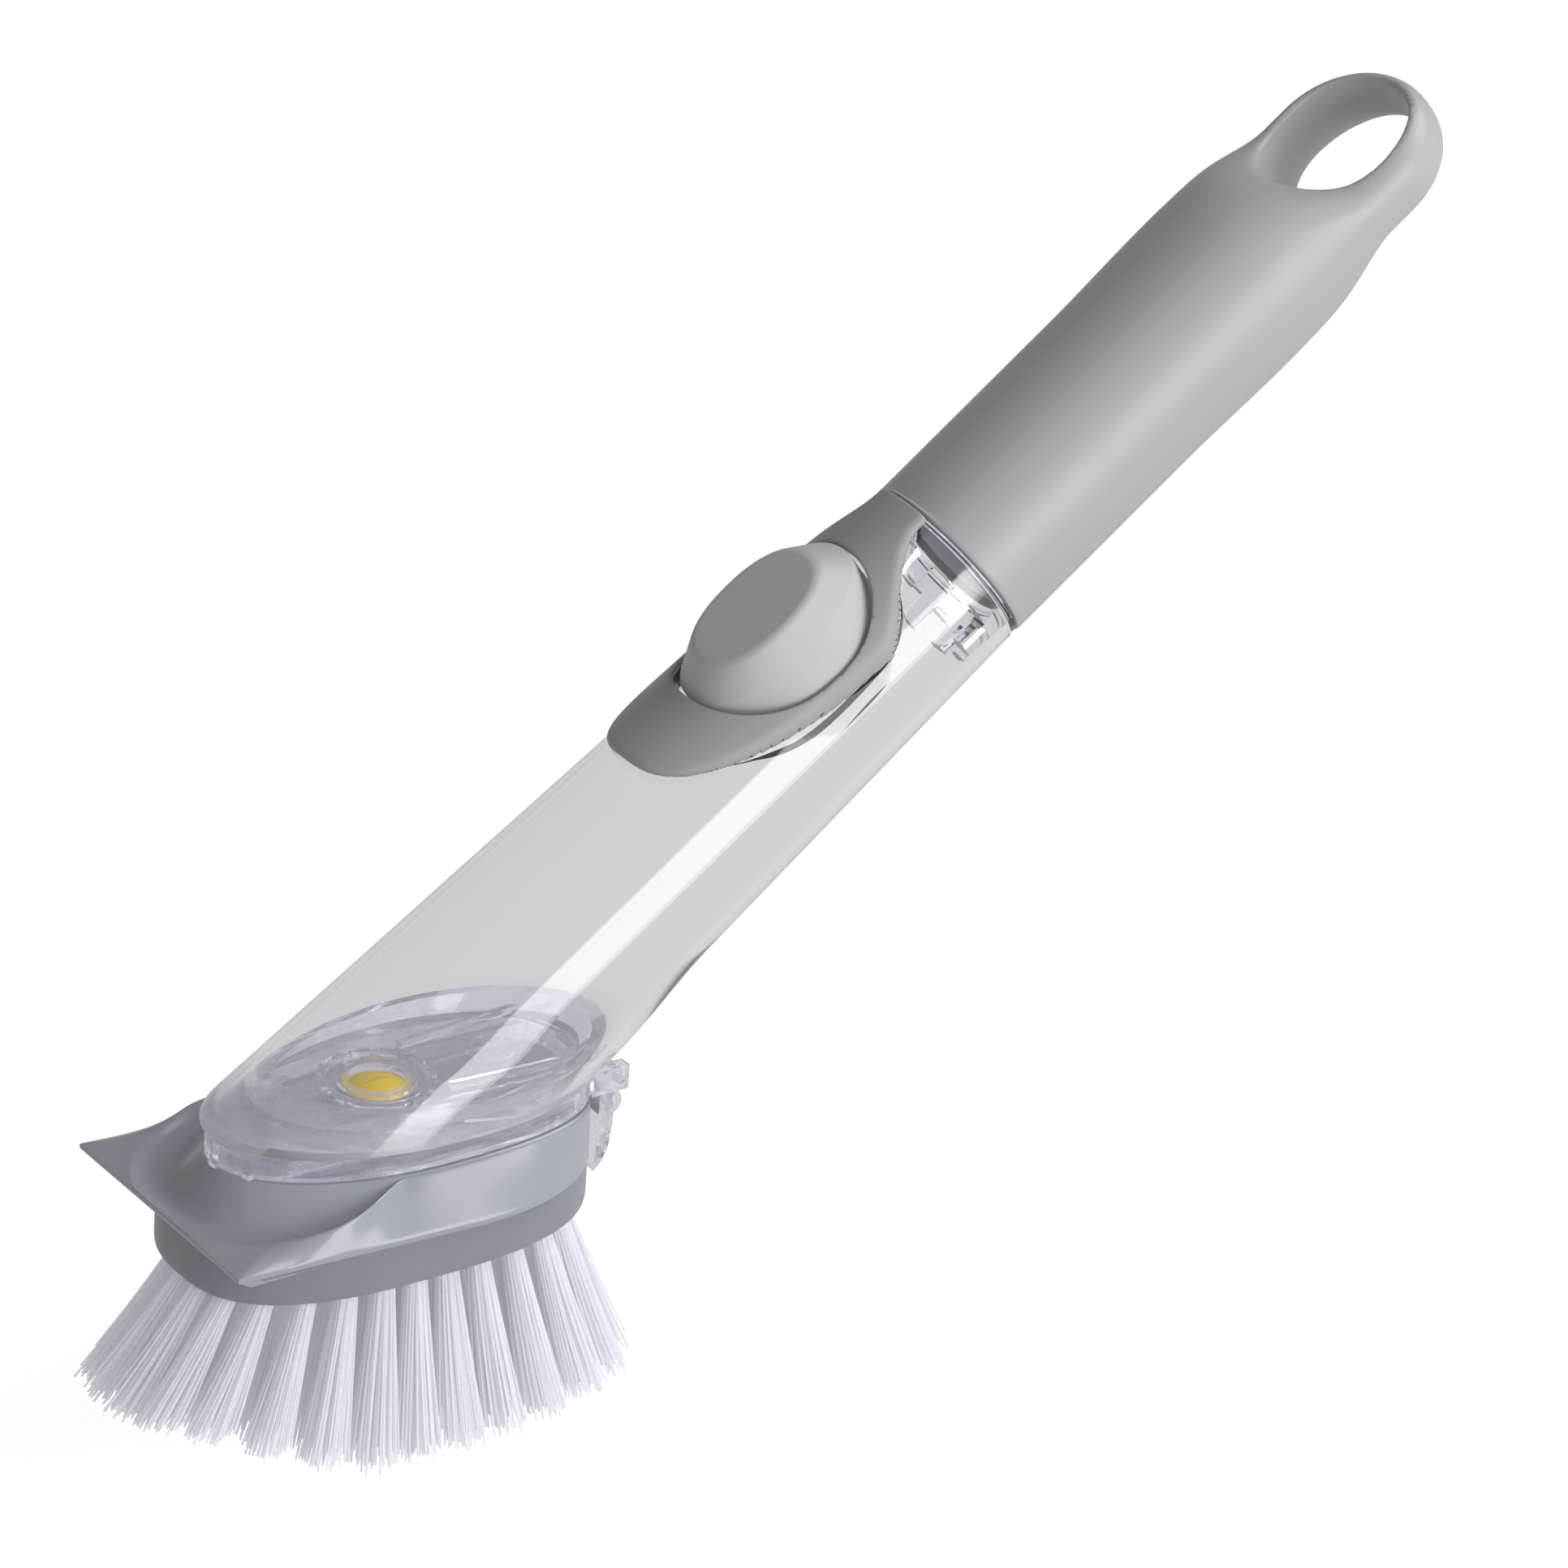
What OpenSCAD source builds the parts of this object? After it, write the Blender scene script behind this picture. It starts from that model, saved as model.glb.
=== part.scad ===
// Soap-dispensing dish wand: clear tank with a pump button, screw-on grip,
// and a pull-off brush head with a flared scraper frame. Millimetres, +Z up,
// brush down; the origin is under the middle of the wand, at the bristle tips.

/* [Wand] */
// Lean of the tank and grip above the level of the head, degrees
handle_lean = 36.5; // [34:0.5:39]
// Distance along the axis from the foot plate to the grip's seam
seam_at = 117; // [114:1:120]
// Distance along the axis from the seam to the middle of the hanging hole
hole_from_seam = 95.5; // [90:0.5:100]

/* [Tank] */
// Outer radius of the tank at the seam
tank_r = 15.9; // [15.6:0.1:16.2]
// Growth of the tank's radius per millimetre towards the foot
tank_taper = 0.0345; // [0.03:0.0005:0.037]
// Tilt of the tank's own axis against the grip's axis, degrees
tank_tilt = 1.25; // [0.8:0.05:1.6]
// Wall of the clear tank
tank_wall = 1.8; // [1.5:0.1:2.1]
// Number of notches in the ring under the fill mouth
mouth_notches = 10; // [6:1:12]

/* [Pump button] */
// Place of the button along the axis from the foot plate
button_at = 86.6; // [85:0.2:88]
// Half length of the button at its foot
button_a = 17.5; // [16.8:0.1:17.8]
// Half width of the button at its foot
button_b = 13.8; // [13:0.1:14]
// Half length of the button's flat top
button_top_a = 12.2; // [11:0.1:13]
// Half width of the button's flat top
button_top_b = 8.5; // [8:0.1:9]
// Height of the button's flat top above the axis
button_top = 23.2; // [22.6:0.1:24]
// Width of the gap round the button
button_gap = 0.4; // [0.3:0.05:0.6]
// Height of the bezel's outer face above the tank wall
bezel_rise = 1.6; // [1.4:0.1:2]

/* [Grip] */
// Radius of the grip
grip_r = 16; // [15.8:0.1:16.3]
// Swell of the grip just before the hanging loop
grip_swell = 0.45; // [0.2:0.05:0.7]
// Height of the loop's top face above the axis
loop_top = 7.2; // [6.6:0.1:7.6]
// Depth of the loop's lower face under the axis
loop_low = 6.2; // [5.8:0.1:6.8]
// Half length of the hanging hole
hole_a = 13.3; // [12.4:0.1:13.6]
// Half width of the hanging hole
hole_b = 11.9; // [11.4:0.1:12.4]

/* [Head] */
// Where the scraper's straight lip is, ahead of the tank's axis on the plate
lip_x = -53.2; // [-55:0.2:-52]
// Half length of the scraper's lip
lip_half = 24.8; // [24:0.1:26]
// Half length of the bristle block
block_a = 37.1; // [36.5:0.1:37.4]
// Half width of the bristle block
block_b = 21.1; // [20.5:0.1:21.6]
// Depth of the bristle block's underside below the foot plate
block_low = 26.7; // [26:0.1:27.5]
// Depth of the bristle tips below the foot plate
tip_low = 59.5; // [57:0.5:62]
// Number of tufts in the outer row
outer_tufts = 27; // [24:1:28]
// Width of one strand
strand_w = 0.85; // [0.5:0.05:0.9]

/* [Hidden] */
$fn = 96;
// the wand is moved from the foot plate's frame so that the origin is under its middle
ahead = 61.3;
fit = 0.05;
far = 400;
// levels of the foot and the head, below the foot plate
plate_t = 2;
collar_h = 3;
collar_t = 1.7;
flange_low = 7;
frame_high = 7.3;
lip_z = 13.2;
edge_drop = 3;
frame_flat = 16.4;
block_high = 16.5;
// the block and its tufts stand round this place on the plate
block_x = -12.6;
// the block's boss in the frame's pocket
boss_x = -10;
boss_a = 29.7;
boss_b = 14.7;
boss_top = 9.6;
// the foot flange's outline: an ellipse in front, squarer behind
foot_x = -9;
foot_front = 34.4;
foot_rear = 33.9;
foot_b = 17.8;
// the outlet, ahead of the middle of the plate
outlet_x = -12.8;
spigot_r = 6.5;
socket_r = 7.6;
channel_r = 3.6;
// latch hinge at the back of the foot
hinge_x = 27.3;
hinge_z = -4.6;
tongue_half = 8.4;
// the mouth ring and the grip's socket
neck_top = 8.5;
neck_r = 13.2;
neck_bore = 11.4;
mouth_depth = 9.5;
liner_bore = 13.6;
liner_r = 14.6;
liner_h = 16;
// pump well under the button
well_a = 18.4;
well_b = 14.4;
well_wall = 0.6;
well_floor = 7.6;
floor_t = 1;
bellows_r = 7.6;
guide_at = 11.2;

function smooth(u) = let (v = min(1, max(0, u))) v * v * (3 - 2 * v);
function mix(a, b, u) = a + (b - a) * u;
// reach of a superellipse with half sizes a and b in direction d
function oval_reach(a, b, e, d) = pow(pow(abs(cos(d)) / a, e) + pow(abs(sin(d)) / b, e), -1 / e);
function oval(a, b, e, n = 96) = [for (i = [0 : n - 1]) let (d = 360 * i / n)
  oval_reach(a, b, e, d) * [cos(d), sin(d)]];

// solid skin through equal rings of points, from the ring that closes its top to the one
// that closes its underside
module skin(rings) {
  m = len(rings);
  n = len(rings[0]);
  top_mid = [for (k = [0 : 2]) vsum([for (p = rings[0]) p[k]]) / n];
  low_mid = [for (k = [0 : 2]) vsum([for (p = rings[m - 1]) p[k]]) / n];
  polyhedron(
    points = concat([for (r = rings) each r], [top_mid, low_mid]),
    faces = concat(
      [for (k = [0 : m - 2]) for (i = [0 : n - 1]) let (j = (i + 1) % n) each [
        [k * n + i, k * n + j, (k + 1) * n + i],
        [k * n + j, (k + 1) * n + j, (k + 1) * n + i]]],
      [for (i = [0 : n - 1]) [(i + 1) % n, i, m * n]],
      [for (i = [0 : n - 1]) [(m - 1) * n + i, (m - 1) * n + (i + 1) % n, m * n + 1]]));
}
function vsum(v, i = 0) = i < len(v) ? v[i] + vsum(v, i + 1) : 0;

// from the foot plate's frame to the wand's own
module wand() translate([-ahead, 0, tip_low]) children();
// Z runs up the grip's axis from the foot plate, X points to the button's side
module along_axis() rotate([0, 90 - handle_lean, 0]) rotate([0, 0, 180]) children();
// the same for the tank, whose axis tilts at the seam
module along_tank() along_axis() translate([0, 0, seam_at]) rotate([0, -tank_tilt, 0]) children();
// the tank's cone, grown by g, from well past the foot up to a height over the seam
cone_reach = 168;
module tank_cone(g = 0, top = 0) along_tank() translate([0, 0, -cone_reach])
  cylinder(h = cone_reach + top, r1 = tank_r + g + cone_reach * tank_taper,
    r2 = tank_r + g - top * tank_taper);
// everything between two levels of the foot plate's frame
module level(low, high) translate([-far / 2, -far / 2, low]) cube([far, far, high - low]);
// an outline given along the axis and across it, raised towards the button's side
module raised(low, high) along_axis() translate([0, 0, button_at]) rotate([0, 90, 0])
  translate([0, 0, low]) linear_extrude(high - low) children();

// half width of the bezel along the axis: a rounded lobe, a waist and a narrow end
lobe_front = -32;
lobe_half = 15.3;
neck_half = 5.9;
neck_end = seam_at - button_at - 0.6;
waist_from = 8.5;
function bezel_half(z) = z < waist_from
  ? lobe_half * pow(1 - pow(abs((waist_from - z) / (waist_from - lobe_front)), 2.7), 1 / 3.2)
  : mix(lobe_half, neck_half, 0.92 * smooth((z - waist_from) / 20.5)
    + 0.08 * smooth((z - waist_from) / (neck_end - waist_from)));
bezel_cuts = 40;
function bezel_side(g) = [for (i = [0 : bezel_cuts])
  let (u = i / bezel_cuts, z = mix(lobe_front + 0.001, neck_end, 1 - cos(90 * u)))
  [-z + (i == 0 ? g : 0), bezel_half(z) + g]];
module bezel_outline(g = 0) {
  side = bezel_side(g);
  polygon(concat([[-lobe_front + g, 0]], side,
    [for (i = [bezel_cuts : -1 : 0]) [side[i][0], -side[i][1]]]));
}
module well_outline(g = 0) polygon(oval(well_a + g, well_b + g, 2.4));

module tank_shell() color([0.9, 0.93, 0.98, 0.35]) wand() difference() {
  union() {
    intersection() {
      tank_cone(0, -1.1);
      level(-plate_t, far);
    }
    // raised seat under the bezel
    intersection() {
      tank_cone(0.45, -1.1);
      raised(2, 30) bezel_outline(0.5);
    }
  }
  tank_cone(-tank_wall, 5);
  // opening for the pump well
  raised(well_floor - floor_t - fit, 40) well_outline(well_wall + fit);
}

module neck_insert() color([0.88, 0.92, 0.98, 0.35]) wand() difference() {
  union() {
    // skirt inside the tank's end
    along_tank() translate([0, 0, -mouth_depth])
      cylinder(h = mouth_depth - 0.34, r = tank_r - tank_wall - 0.15);
    // rim on the seam, and the neck that the grip screws on
    along_axis() translate([0, 0, seam_at - 0.65]) cylinder(h = 0.63, r = tank_r - 0.2);
    along_axis() translate([0, 0, seam_at - 0.4]) cylinder(h = neck_top + 0.4, r = neck_r);
  }
  along_axis() translate([0, 0, seam_at - 2 * mouth_depth])
    cylinder(h = 2 * mouth_depth + neck_top + 2, r = neck_bore);
  along_tank() for (i = [0 : mouth_notches - 1]) rotate([0, 0, 360 * (i + 0.5) / mouth_notches])
    translate([neck_bore - 2, -2.3, -mouth_depth - 1]) cube([6, 4.6, 6]);
}

module foot_plate() color([0.9, 0.93, 0.98, 0.35]) wand() difference() {
  union() {
    intersection() {
      tank_cone(-tank_wall - fit);
      level(-plate_t, 0);
    }
    // collar that stiffens the foot of the wall
    intersection() {
      difference() {
        tank_cone(-tank_wall - fit);
        tank_cone(-tank_wall - collar_t);
      }
      level(-0.5, collar_h);
    }
    // two ribs from the outlet to the back of the plate
    intersection() {
      tank_cone(-tank_wall - 0.5);
      level(-0.5, 1.2);
      for (s = [-1, 1]) translate([outlet_x, s * 7.2, 0]) rotate([0, 0, s * 4])
        translate([9, -0.6, -0.5]) cube([40, 1.2, 2]);
    }
    translate([9, 0, -0.5]) cylinder(h = 1.1, r = 4);
  }
  translate([9, 0, 0.2]) cylinder(h = 2, r = 3.3);
  translate([outlet_x, 0, -0.95]) cylinder(h = 5, r = 9.85);
  translate([outlet_x, 0, -1.55]) cylinder(h = 3, r = 5.7);
  translate([outlet_x, 0, -5]) cylinder(h = 10, r = 4);
}

module outlet_valve() color([0.96, 0.78, 0.1]) wand() translate([outlet_x, 0, 0]) difference() {
  union() {
    translate([0, 0, -1.5]) cylinder(h = 0.55, r = 5.6);
    // domed face towards the soap
    translate([0, 0, -1]) intersection() {
      cylinder(h = 1.6, r = 4.6);
      translate([0, 0, -9.2]) sphere(r = 10.6);
    }
    translate([0, 0, -4.6]) cylinder(h = 3.3, r1 = 2.4, r2 = 3.6);
  }
  translate([0, 0, -5.4]) cylinder(h = 4.4, r = 1.6);
  // slit that lets the soap through when the tank is squeezed
  translate([-2.2, -0.15, -2]) cube([4.4, 0.3, 4]);
}

module valve_retainer() color([0.88, 0.91, 0.97, 0.35]) wand() translate([outlet_x, 0, -0.9])
  difference() {
    cylinder(h = 1.7, r = 9.8);
    translate([0, 0, -1]) cylinder(h = 5, r = 4.9);
    translate([0, 0, 0.9]) rotate_extrude() polygon([[6.6, 0], [8.4, 0], [8.4, 2], [6.6, 2]]);
    for (i = [0 : 11]) rotate([0, 0, 30 * i]) translate([8.9, -0.8, 0.7]) cube([3, 1.6, 3]);
  }

function foot_reach(d, g = 0) = cos(d) < 0
  ? oval_reach(foot_front + g, foot_b + g, 2, d)
  : oval_reach(foot_rear + g, foot_b + g, 2.8, d);
module foot_outline(g = 0) translate([foot_x, 0]) polygon([for (i = [0 : 119])
  let (d = 3 * i) foot_reach(d, g) * [cos(d), sin(d)]]);

module foot_flange() color([0.88, 0.91, 0.98, 0.35]) wand() difference() {
  union() {
    intersection() {
      union() {
        tank_cone(0);
        translate([0, -far / 2, -far / 2]) cube([far, far, far]);
      }
      translate([0, 0, -flange_low]) linear_extrude(flange_low - plate_t - fit) foot_outline();
    }
    translate([outlet_x, 0, -12.6]) cylinder(h = 9, r = spigot_r);
    // two small tabs on the front of the rim
    for (d = [181.5, 192]) translate([foot_x, 0, -flange_low]) rotate([0, 0, d])
      translate([foot_reach(d) - 1.2, -0.9, 0]) cube([2, 1.8, 0.9]);
    // hinge cheeks of the latch
    for (s = [-1, 1]) translate([22, s * (tongue_half + 1.8) - 1.2, hinge_z - 1.9])
      cube([hinge_x - 20.4, 2.4, 4.4]);
  }
  // the flange is a skirt: hollow from below, with a deck over it
  difference() {
    translate([0, 0, -flange_low - 1]) linear_extrude(flange_low - plate_t - 0.8) foot_outline(-2.4);
    translate([outlet_x, 0, -20]) cylinder(h = 30, r = spigot_r + 0.01);
    for (s = [-1, 1]) translate([-far / 2, s * 8.4 - 0.7, -far / 2]) cube([far, 1.4, far]);
  }
  translate([outlet_x, 0, -20]) cylinder(h = 30, r = 4.8);
  // groove of the sealing ring
  translate([outlet_x, 0, -11]) difference() {
    cylinder(h = 1.7, r = 12);
    translate([0, 0, -1]) cylinder(h = 4, r = spigot_r - 0.7);
  }
  translate([hinge_x, 0, hinge_z]) rotate([90, 0, 0]) cylinder(h = 60, r = 0.85, center = true);
}

module spigot_seal() color([0.15, 0.15, 0.16]) wand() translate([outlet_x, 0, -10.15])
  rotate_extrude() translate([spigot_r + 0.1, 0]) circle(r = 0.72, $fn = 32);

// cup that the button sinks into
module pump_well() color([0.86, 0.89, 0.95, 0.4]) wand() difference() {
  intersection() {
    tank_cone(0.4, -1.1);
    raised(well_floor - floor_t, 40) well_outline(well_wall);
  }
  difference() {
    raised(well_floor, 40) well_outline();
    // guides for the button's two pins
    for (s = [-1, 1]) along_axis() translate([0, 0, button_at + s * guide_at]) rotate([0, 90, 0])
      cylinder(h = 13.2, r = 2.9);
  }
  for (s = [-1, 1]) along_axis() translate([well_floor, 0, button_at + s * guide_at]) rotate([0, 90, 0])
    cylinder(h = 20, r = 1.9);
  // air port under the bellows
  along_axis() translate([0, 0, button_at]) rotate([0, 90, 0]) cylinder(h = 20, r = 2.5);
}

module button_bezel() color([0.5, 0.52, 0.52]) wand() difference() {
  intersection() {
    tank_cone(bezel_rise, -0.35);
    raised(4, 40) bezel_outline();
  }
  tank_cone(0.5, 5);
  raised(0, 40) polygon(oval(button_a + button_gap, button_b + button_gap, 2.4));
}

// folded rubber sleeve that pumps air and returns the button
module pump_bellows() color([0.75, 0.75, 0.73]) wand() along_axis() translate([0, 0, button_at])
  rotate([0, 90, 0]) translate([0, 0, well_floor + fit]) rotate_extrude()
  polygon([[3, 0], [bellows_r, 0], [bellows_r, 0.9], [6, 2.6], [bellows_r - 0.4, 4.4],
    [5.8, 6.2], [bellows_r - 0.8, 8], [5.6, 9.7], [5.6, 11.2], [4, 11.2], [4, 9.7], [5.6, 8],
    [4.4, 6.2], [6, 4.4], [4.6, 2.6], [6, 1], [3, 1]]);

// half sizes of the button at a height h above the axis, shrunk by g
function button_half(h, g) = let (u = (h - 18.4) / (button_top - 18.4),
    v = (h - 12) / (button_top - 12))
  [mix(button_a, button_top_a, max(0, u)) - g, mix(button_b, button_top_b, max(0, v)) - g];
skirt_low = 11.2;
function button_ring(h, g, edge = 0) = let (s = button_half(h, g + edge))
  [for (p = oval(s[0], s[1], 2.3, 64)) [h, p[1], -p[0]]];

module button_cap() color([0.55, 0.56, 0.56]) wand() along_axis() translate([0, 0, button_at])
  // down the outside, round the skirt's rim and up the inside
  skin([button_ring(button_top, 0, 0.9), button_ring(button_top - 0.25, 0, 0.3),
    button_ring(button_top - 0.8, 0), button_ring(18.4, 0), button_ring(12, 0),
    button_ring(skirt_low, 0), button_ring(skirt_low, 1.5), button_ring(12, 1.5),
    button_ring(18.4, 1.5), button_ring(button_top - 1.6, 1.7)]);

module button_core() color([0.8, 0.8, 0.8]) wand() along_axis() translate([0, 0, button_at])
  rotate([0, 90, 0]) difference() {
    union() {
      translate([0, 0, button_top - 3.1]) linear_extrude(1.45) polygon(oval(11.9, 7.2, 2.3, 64));
      translate([0, 0, 17.4]) cylinder(h = 3.2, r = 6.9);
      for (s = [-1, 1]) translate([s * guide_at, 0, 11.4]) cylinder(h = 9, r = 1.4);
    }
    translate([0, 0, 16]) cylinder(h = 3, r = 5.9);
  }

// outline of the grip seen from the side: both faces scoop in to the hanging loop
loop_x = seam_at + hole_from_seam;
function grip_face(z, flat) = mix(grip_r + 2, flat, smooth((z - loop_x + 27) / 22));
scoop_cuts = 24;
module grip_side() polygon(concat(
  [for (i = [0 : scoop_cuts]) let (z = loop_x - 30 + 30 * i / scoop_cuts) [z, grip_face(z, loop_top)]],
  [[loop_x + 30, loop_top], [loop_x + 30, -loop_low]],
  [for (i = [scoop_cuts : -1 : 0]) let (z = loop_x - 30 + 30 * i / scoop_cuts)
    [z, -grip_face(z, loop_low)]],
  [[seam_at - 5, -grip_r - 2], [seam_at - 5, grip_r + 2]]));

module grip() color([0.62, 0.64, 0.63]) wand() along_axis() difference() {
  intersection() {
    union() {
      rotate_extrude() polygon([[0, seam_at + 0.2], [grip_r - 0.5, seam_at + 0.2],
        [grip_r, seam_at + 0.7], [grip_r, seam_at + 45], [grip_r + grip_swell, seam_at + 64],
        [grip_r + grip_swell * 0.6, seam_at + 72], [grip_r, seam_at + 80],
        [grip_r, loop_x], [0, loop_x]]);
      translate([0, 0, loop_x]) sphere(r = grip_r);
    }
    rotate([90, 0, 0]) rotate([0, 0, 90]) translate([0, 0, -30]) linear_extrude(60)
      mirror([0, 1]) grip_side();
  }
  // socket of the liner, then the hollow of the grip
  translate([0, 0, seam_at - 1]) cylinder(h = liner_h + 3, r = liner_r + fit);
  translate([0, 0, seam_at]) cylinder(h = 62, r = 12.2);
  // hanging hole
  translate([0, 0, loop_x]) rotate([0, 90, 0]) translate([0, 0, -20]) linear_extrude(40)
    polygon(oval(hole_a, hole_b, 2));
}

module grip_liner() color([0.78, 0.79, 0.8]) wand() along_axis() translate([0, 0, seam_at + 1.4])
  difference() {
    cylinder(h = liner_h, r = liner_r);
    translate([0, 0, -1]) cylinder(h = liner_h - 0.8, r = liner_bore);
  }

module grip_seal() color([0.15, 0.15, 0.16]) wand() along_axis() translate([0, 0, seam_at + 0.25])
  difference() {
    cylinder(h = 1.1, r = liner_r);
    translate([0, 0, -1]) cylinder(h = 4, r = neck_r + 0.35);
  }

// the frame's lower edge: a straight lip, straight sides, a rounded back
side_half = 24;
frame_rear = 33.5;
rear_e = 2.3;
lip_cuts = 10;
side_cuts = 8;
rear_cuts = 32;
function side_y(x) = side_half + (lip_half - side_half) * (foot_x - x) / (foot_x - lip_x);
frame_edge = concat(
  [for (i = [0 : lip_cuts - 1]) [lip_x, mix(lip_half, -lip_half, i / lip_cuts)]],
  [for (i = [0 : side_cuts - 1]) let (x = mix(lip_x, foot_x, i / side_cuts)) [x, -side_y(x)]],
  [for (i = [0 : rear_cuts - 1]) let (d = -90 + 180 * i / rear_cuts)
    [foot_x, 0] + oval_reach(frame_rear, side_half, rear_e, d) * [cos(d), sin(d)]],
  [for (i = [0 : side_cuts - 1]) let (x = mix(foot_x, lip_x, i / side_cuts)) [x, side_y(x)]]);
// the edge drops evenly from the lip to behind the outlet, and is level after that
function edge_z(x) = -lip_z - edge_drop * min(1, (x - lip_x) / 66);
// from the foot's outline out to that edge, hollow in front and straight at the sides
function frame_point(p, w) = let (
    d = atan2(p[1], p[0] - foot_x),
    outer = norm([p[0] - foot_x, p[1]]),
    inner = min(foot_reach(d, 0.3), outer - 0.2),
    f = smooth((-12 - p[0]) / 34),
    r = mix(inner, outer, mix(w, 1 - cos(90 * w), f)),
    z = mix(-frame_high, edge_z(p[0]), mix(w, sin(90 * w), f)))
  [foot_x + r * cos(d), r * sin(d), z];
// thickness of the edge, and the flat that the block lies against
edge_t = 1.1;
function under_edge(p) = [p[0] + 0.2 * sign(foot_x - p[0]), p[1] * 0.99,
  max(edge_z(p[0]) - edge_t, -frame_flat + 0.05)];
function under_flat(p) = [mix(foot_x, p[0], p[0] < foot_x ? 0.925 : 0.98), p[1] * 0.93, -frame_flat];
frame_cuts = 8;

module scraper_frame() color([0.56, 0.6, 0.6]) wand() difference() {
  skin(concat(
    [for (k = [0 : frame_cuts]) [for (p = frame_edge) frame_point(p, k / frame_cuts)]],
    [[for (p = frame_edge) under_edge(p)], [for (p = frame_edge) under_flat(p)]]));
  // pocket for the block, and the hole that the spigot passes
  translate([boss_x, 0, -frame_flat - 1]) linear_extrude(frame_flat + 1.2 - boss_top)
    polygon(oval(boss_a + 0.3, boss_b + 0.3, 2.6));
  translate([outlet_x, 0, -30]) cylinder(h = 40, r = socket_r + 0.4);
  // ramp that the latch rides over
  translate([0, -6, 0]) rotate([90, 0, 0]) mirror([0, 0, 1]) linear_extrude(12)
    polygon([[23.2, -13.4], [30, -13.4], [30, -6.5], [24.4, -6.5], [23.2, -12.75]]);
}

module bristle_block() color([0.5, 0.54, 0.53]) wand() difference() {
  union() {
    skin([for (k = [[block_high, 0], [block_low - 2, 0], [block_low - 0.9, 0.35],
        [block_low - 0.25, 1.1], [block_low, 2]])
      [for (p = oval(block_a - k[1], block_b - k[1], 2.66, 80)) [p[0] + block_x, p[1], -k[0]]]]);
    translate([boss_x, 0, -block_high - 0.5]) linear_extrude(block_high + 0.5 - boss_top)
      polygon(oval(boss_a, boss_b, 2.6));
  }
  translate([outlet_x, 0, -16]) cylinder(h = 20, r = socket_r);
  translate([outlet_x, 0, -60]) cylinder(h = 80, r = channel_r);
  // recess that takes the tufts' carriers
  translate([block_x, 0, -block_low - 1]) linear_extrude(1 + carrier_t + fit)
    polygon(oval(carrier_a + 0.1, carrier_b + 0.1, 2.66));
}

// tufts: each strand runs from its place on the carrier to its place at the tips
carrier_t = 1.4;
carrier_a = 34.6;
carrier_b = 18.2;
ring_inset = 2.2;
strands = 7;
row_split = 29.4;
row_split_b = 13;
function tuft_ring(a, b, n, turn) = [for (i = [0 : n - 1]) let (d = 360 * (i + turn) / n,
    q = atan2(sin(d) * b * 0.8, cos(d) * a * 0.62))
  oval_reach(a, b, 2.66, q) * [cos(q), sin(q)]];
// where a strand that leaves the block at p ends
function tip_of(p, i) = let (
    u = p[0] / (carrier_a - ring_inset),
    cut = 0.5 * sin(i * 97) + 0.45 * sin(i * 53 + 20),
    front = smooth((-u - 0.15) / 0.85))
  [p[0] + 14 * u - 3 * u * u, p[1] * 1.24, -min(tip_low + 0.5, tip_low + 0.4 - 11.5 * front + cut)];
function strand_pts(p, r, t) = let (
    root = [p[0] + r[0], p[1] + r[1], -block_low + 0.6],
    tip = [t[0] + r[0] * 2, t[1] + r[1] * 2, t[2]])
  [for (k = [0 : 2]) let (c = strand_w / sqrt(3) * [cos(120 * k), sin(120 * k), 0]) root + c,
   each [for (k = [0 : 2]) let (c = strand_w * 0.5 * [cos(120 * k), sin(120 * k), 0]) tip + c]];
module strand(q) polyhedron(points = q, faces = [[0, 2, 1], [3, 4, 5],
  [0, 1, 3], [1, 4, 3], [1, 2, 4], [2, 5, 4], [2, 0, 5], [0, 3, 5]]);
module tuft_set(places, seed) intersection() {
  translate([block_x, 0, 0]) for (i = [0 : len(places) - 1]) for (j = [0 : strands - 1])
    let (p = places[i], r = j == 0 ? [0, 0] : 1.05 * [cos(60 * j + 13 * i), sin(60 * j + 13 * i)])
      strand(strand_pts(p, r, tip_of(p, seed + 7 * i + j)));
  level(-tip_low, 0);
}
module carrier(a, b, t = carrier_t) translate([block_x, 0, -block_low]) linear_extrude(t)
  polygon(oval(a, b, 2.66));

module tufts_outer() color([0.95, 0.95, 0.98]) wand() {
  difference() {
    carrier(carrier_a, carrier_b);
    translate([0, 0, -1]) carrier(row_split, row_split_b, 4);
  }
  tuft_set(tuft_ring(carrier_a - ring_inset, carrier_b - ring_inset, outer_tufts, 0), 0);
}

module tufts_inner() color([0.95, 0.95, 0.98]) wand() {
  difference() {
    carrier(row_split - 0.1, row_split_b - 0.1);
    translate([outlet_x, 0, -60]) cylinder(h = 80, r = channel_r + 0.2);
  }
  tuft_set(concat(tuft_ring(26.2, 9.8, 19, 0.5), [for (s = [-1, 1]) each
    [for (i = [0 : 4]) [s * (7.5 + 3.3 * i), (i % 2 == 0 ? 1 : -1) * 2.6]]]), 300);
}

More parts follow.
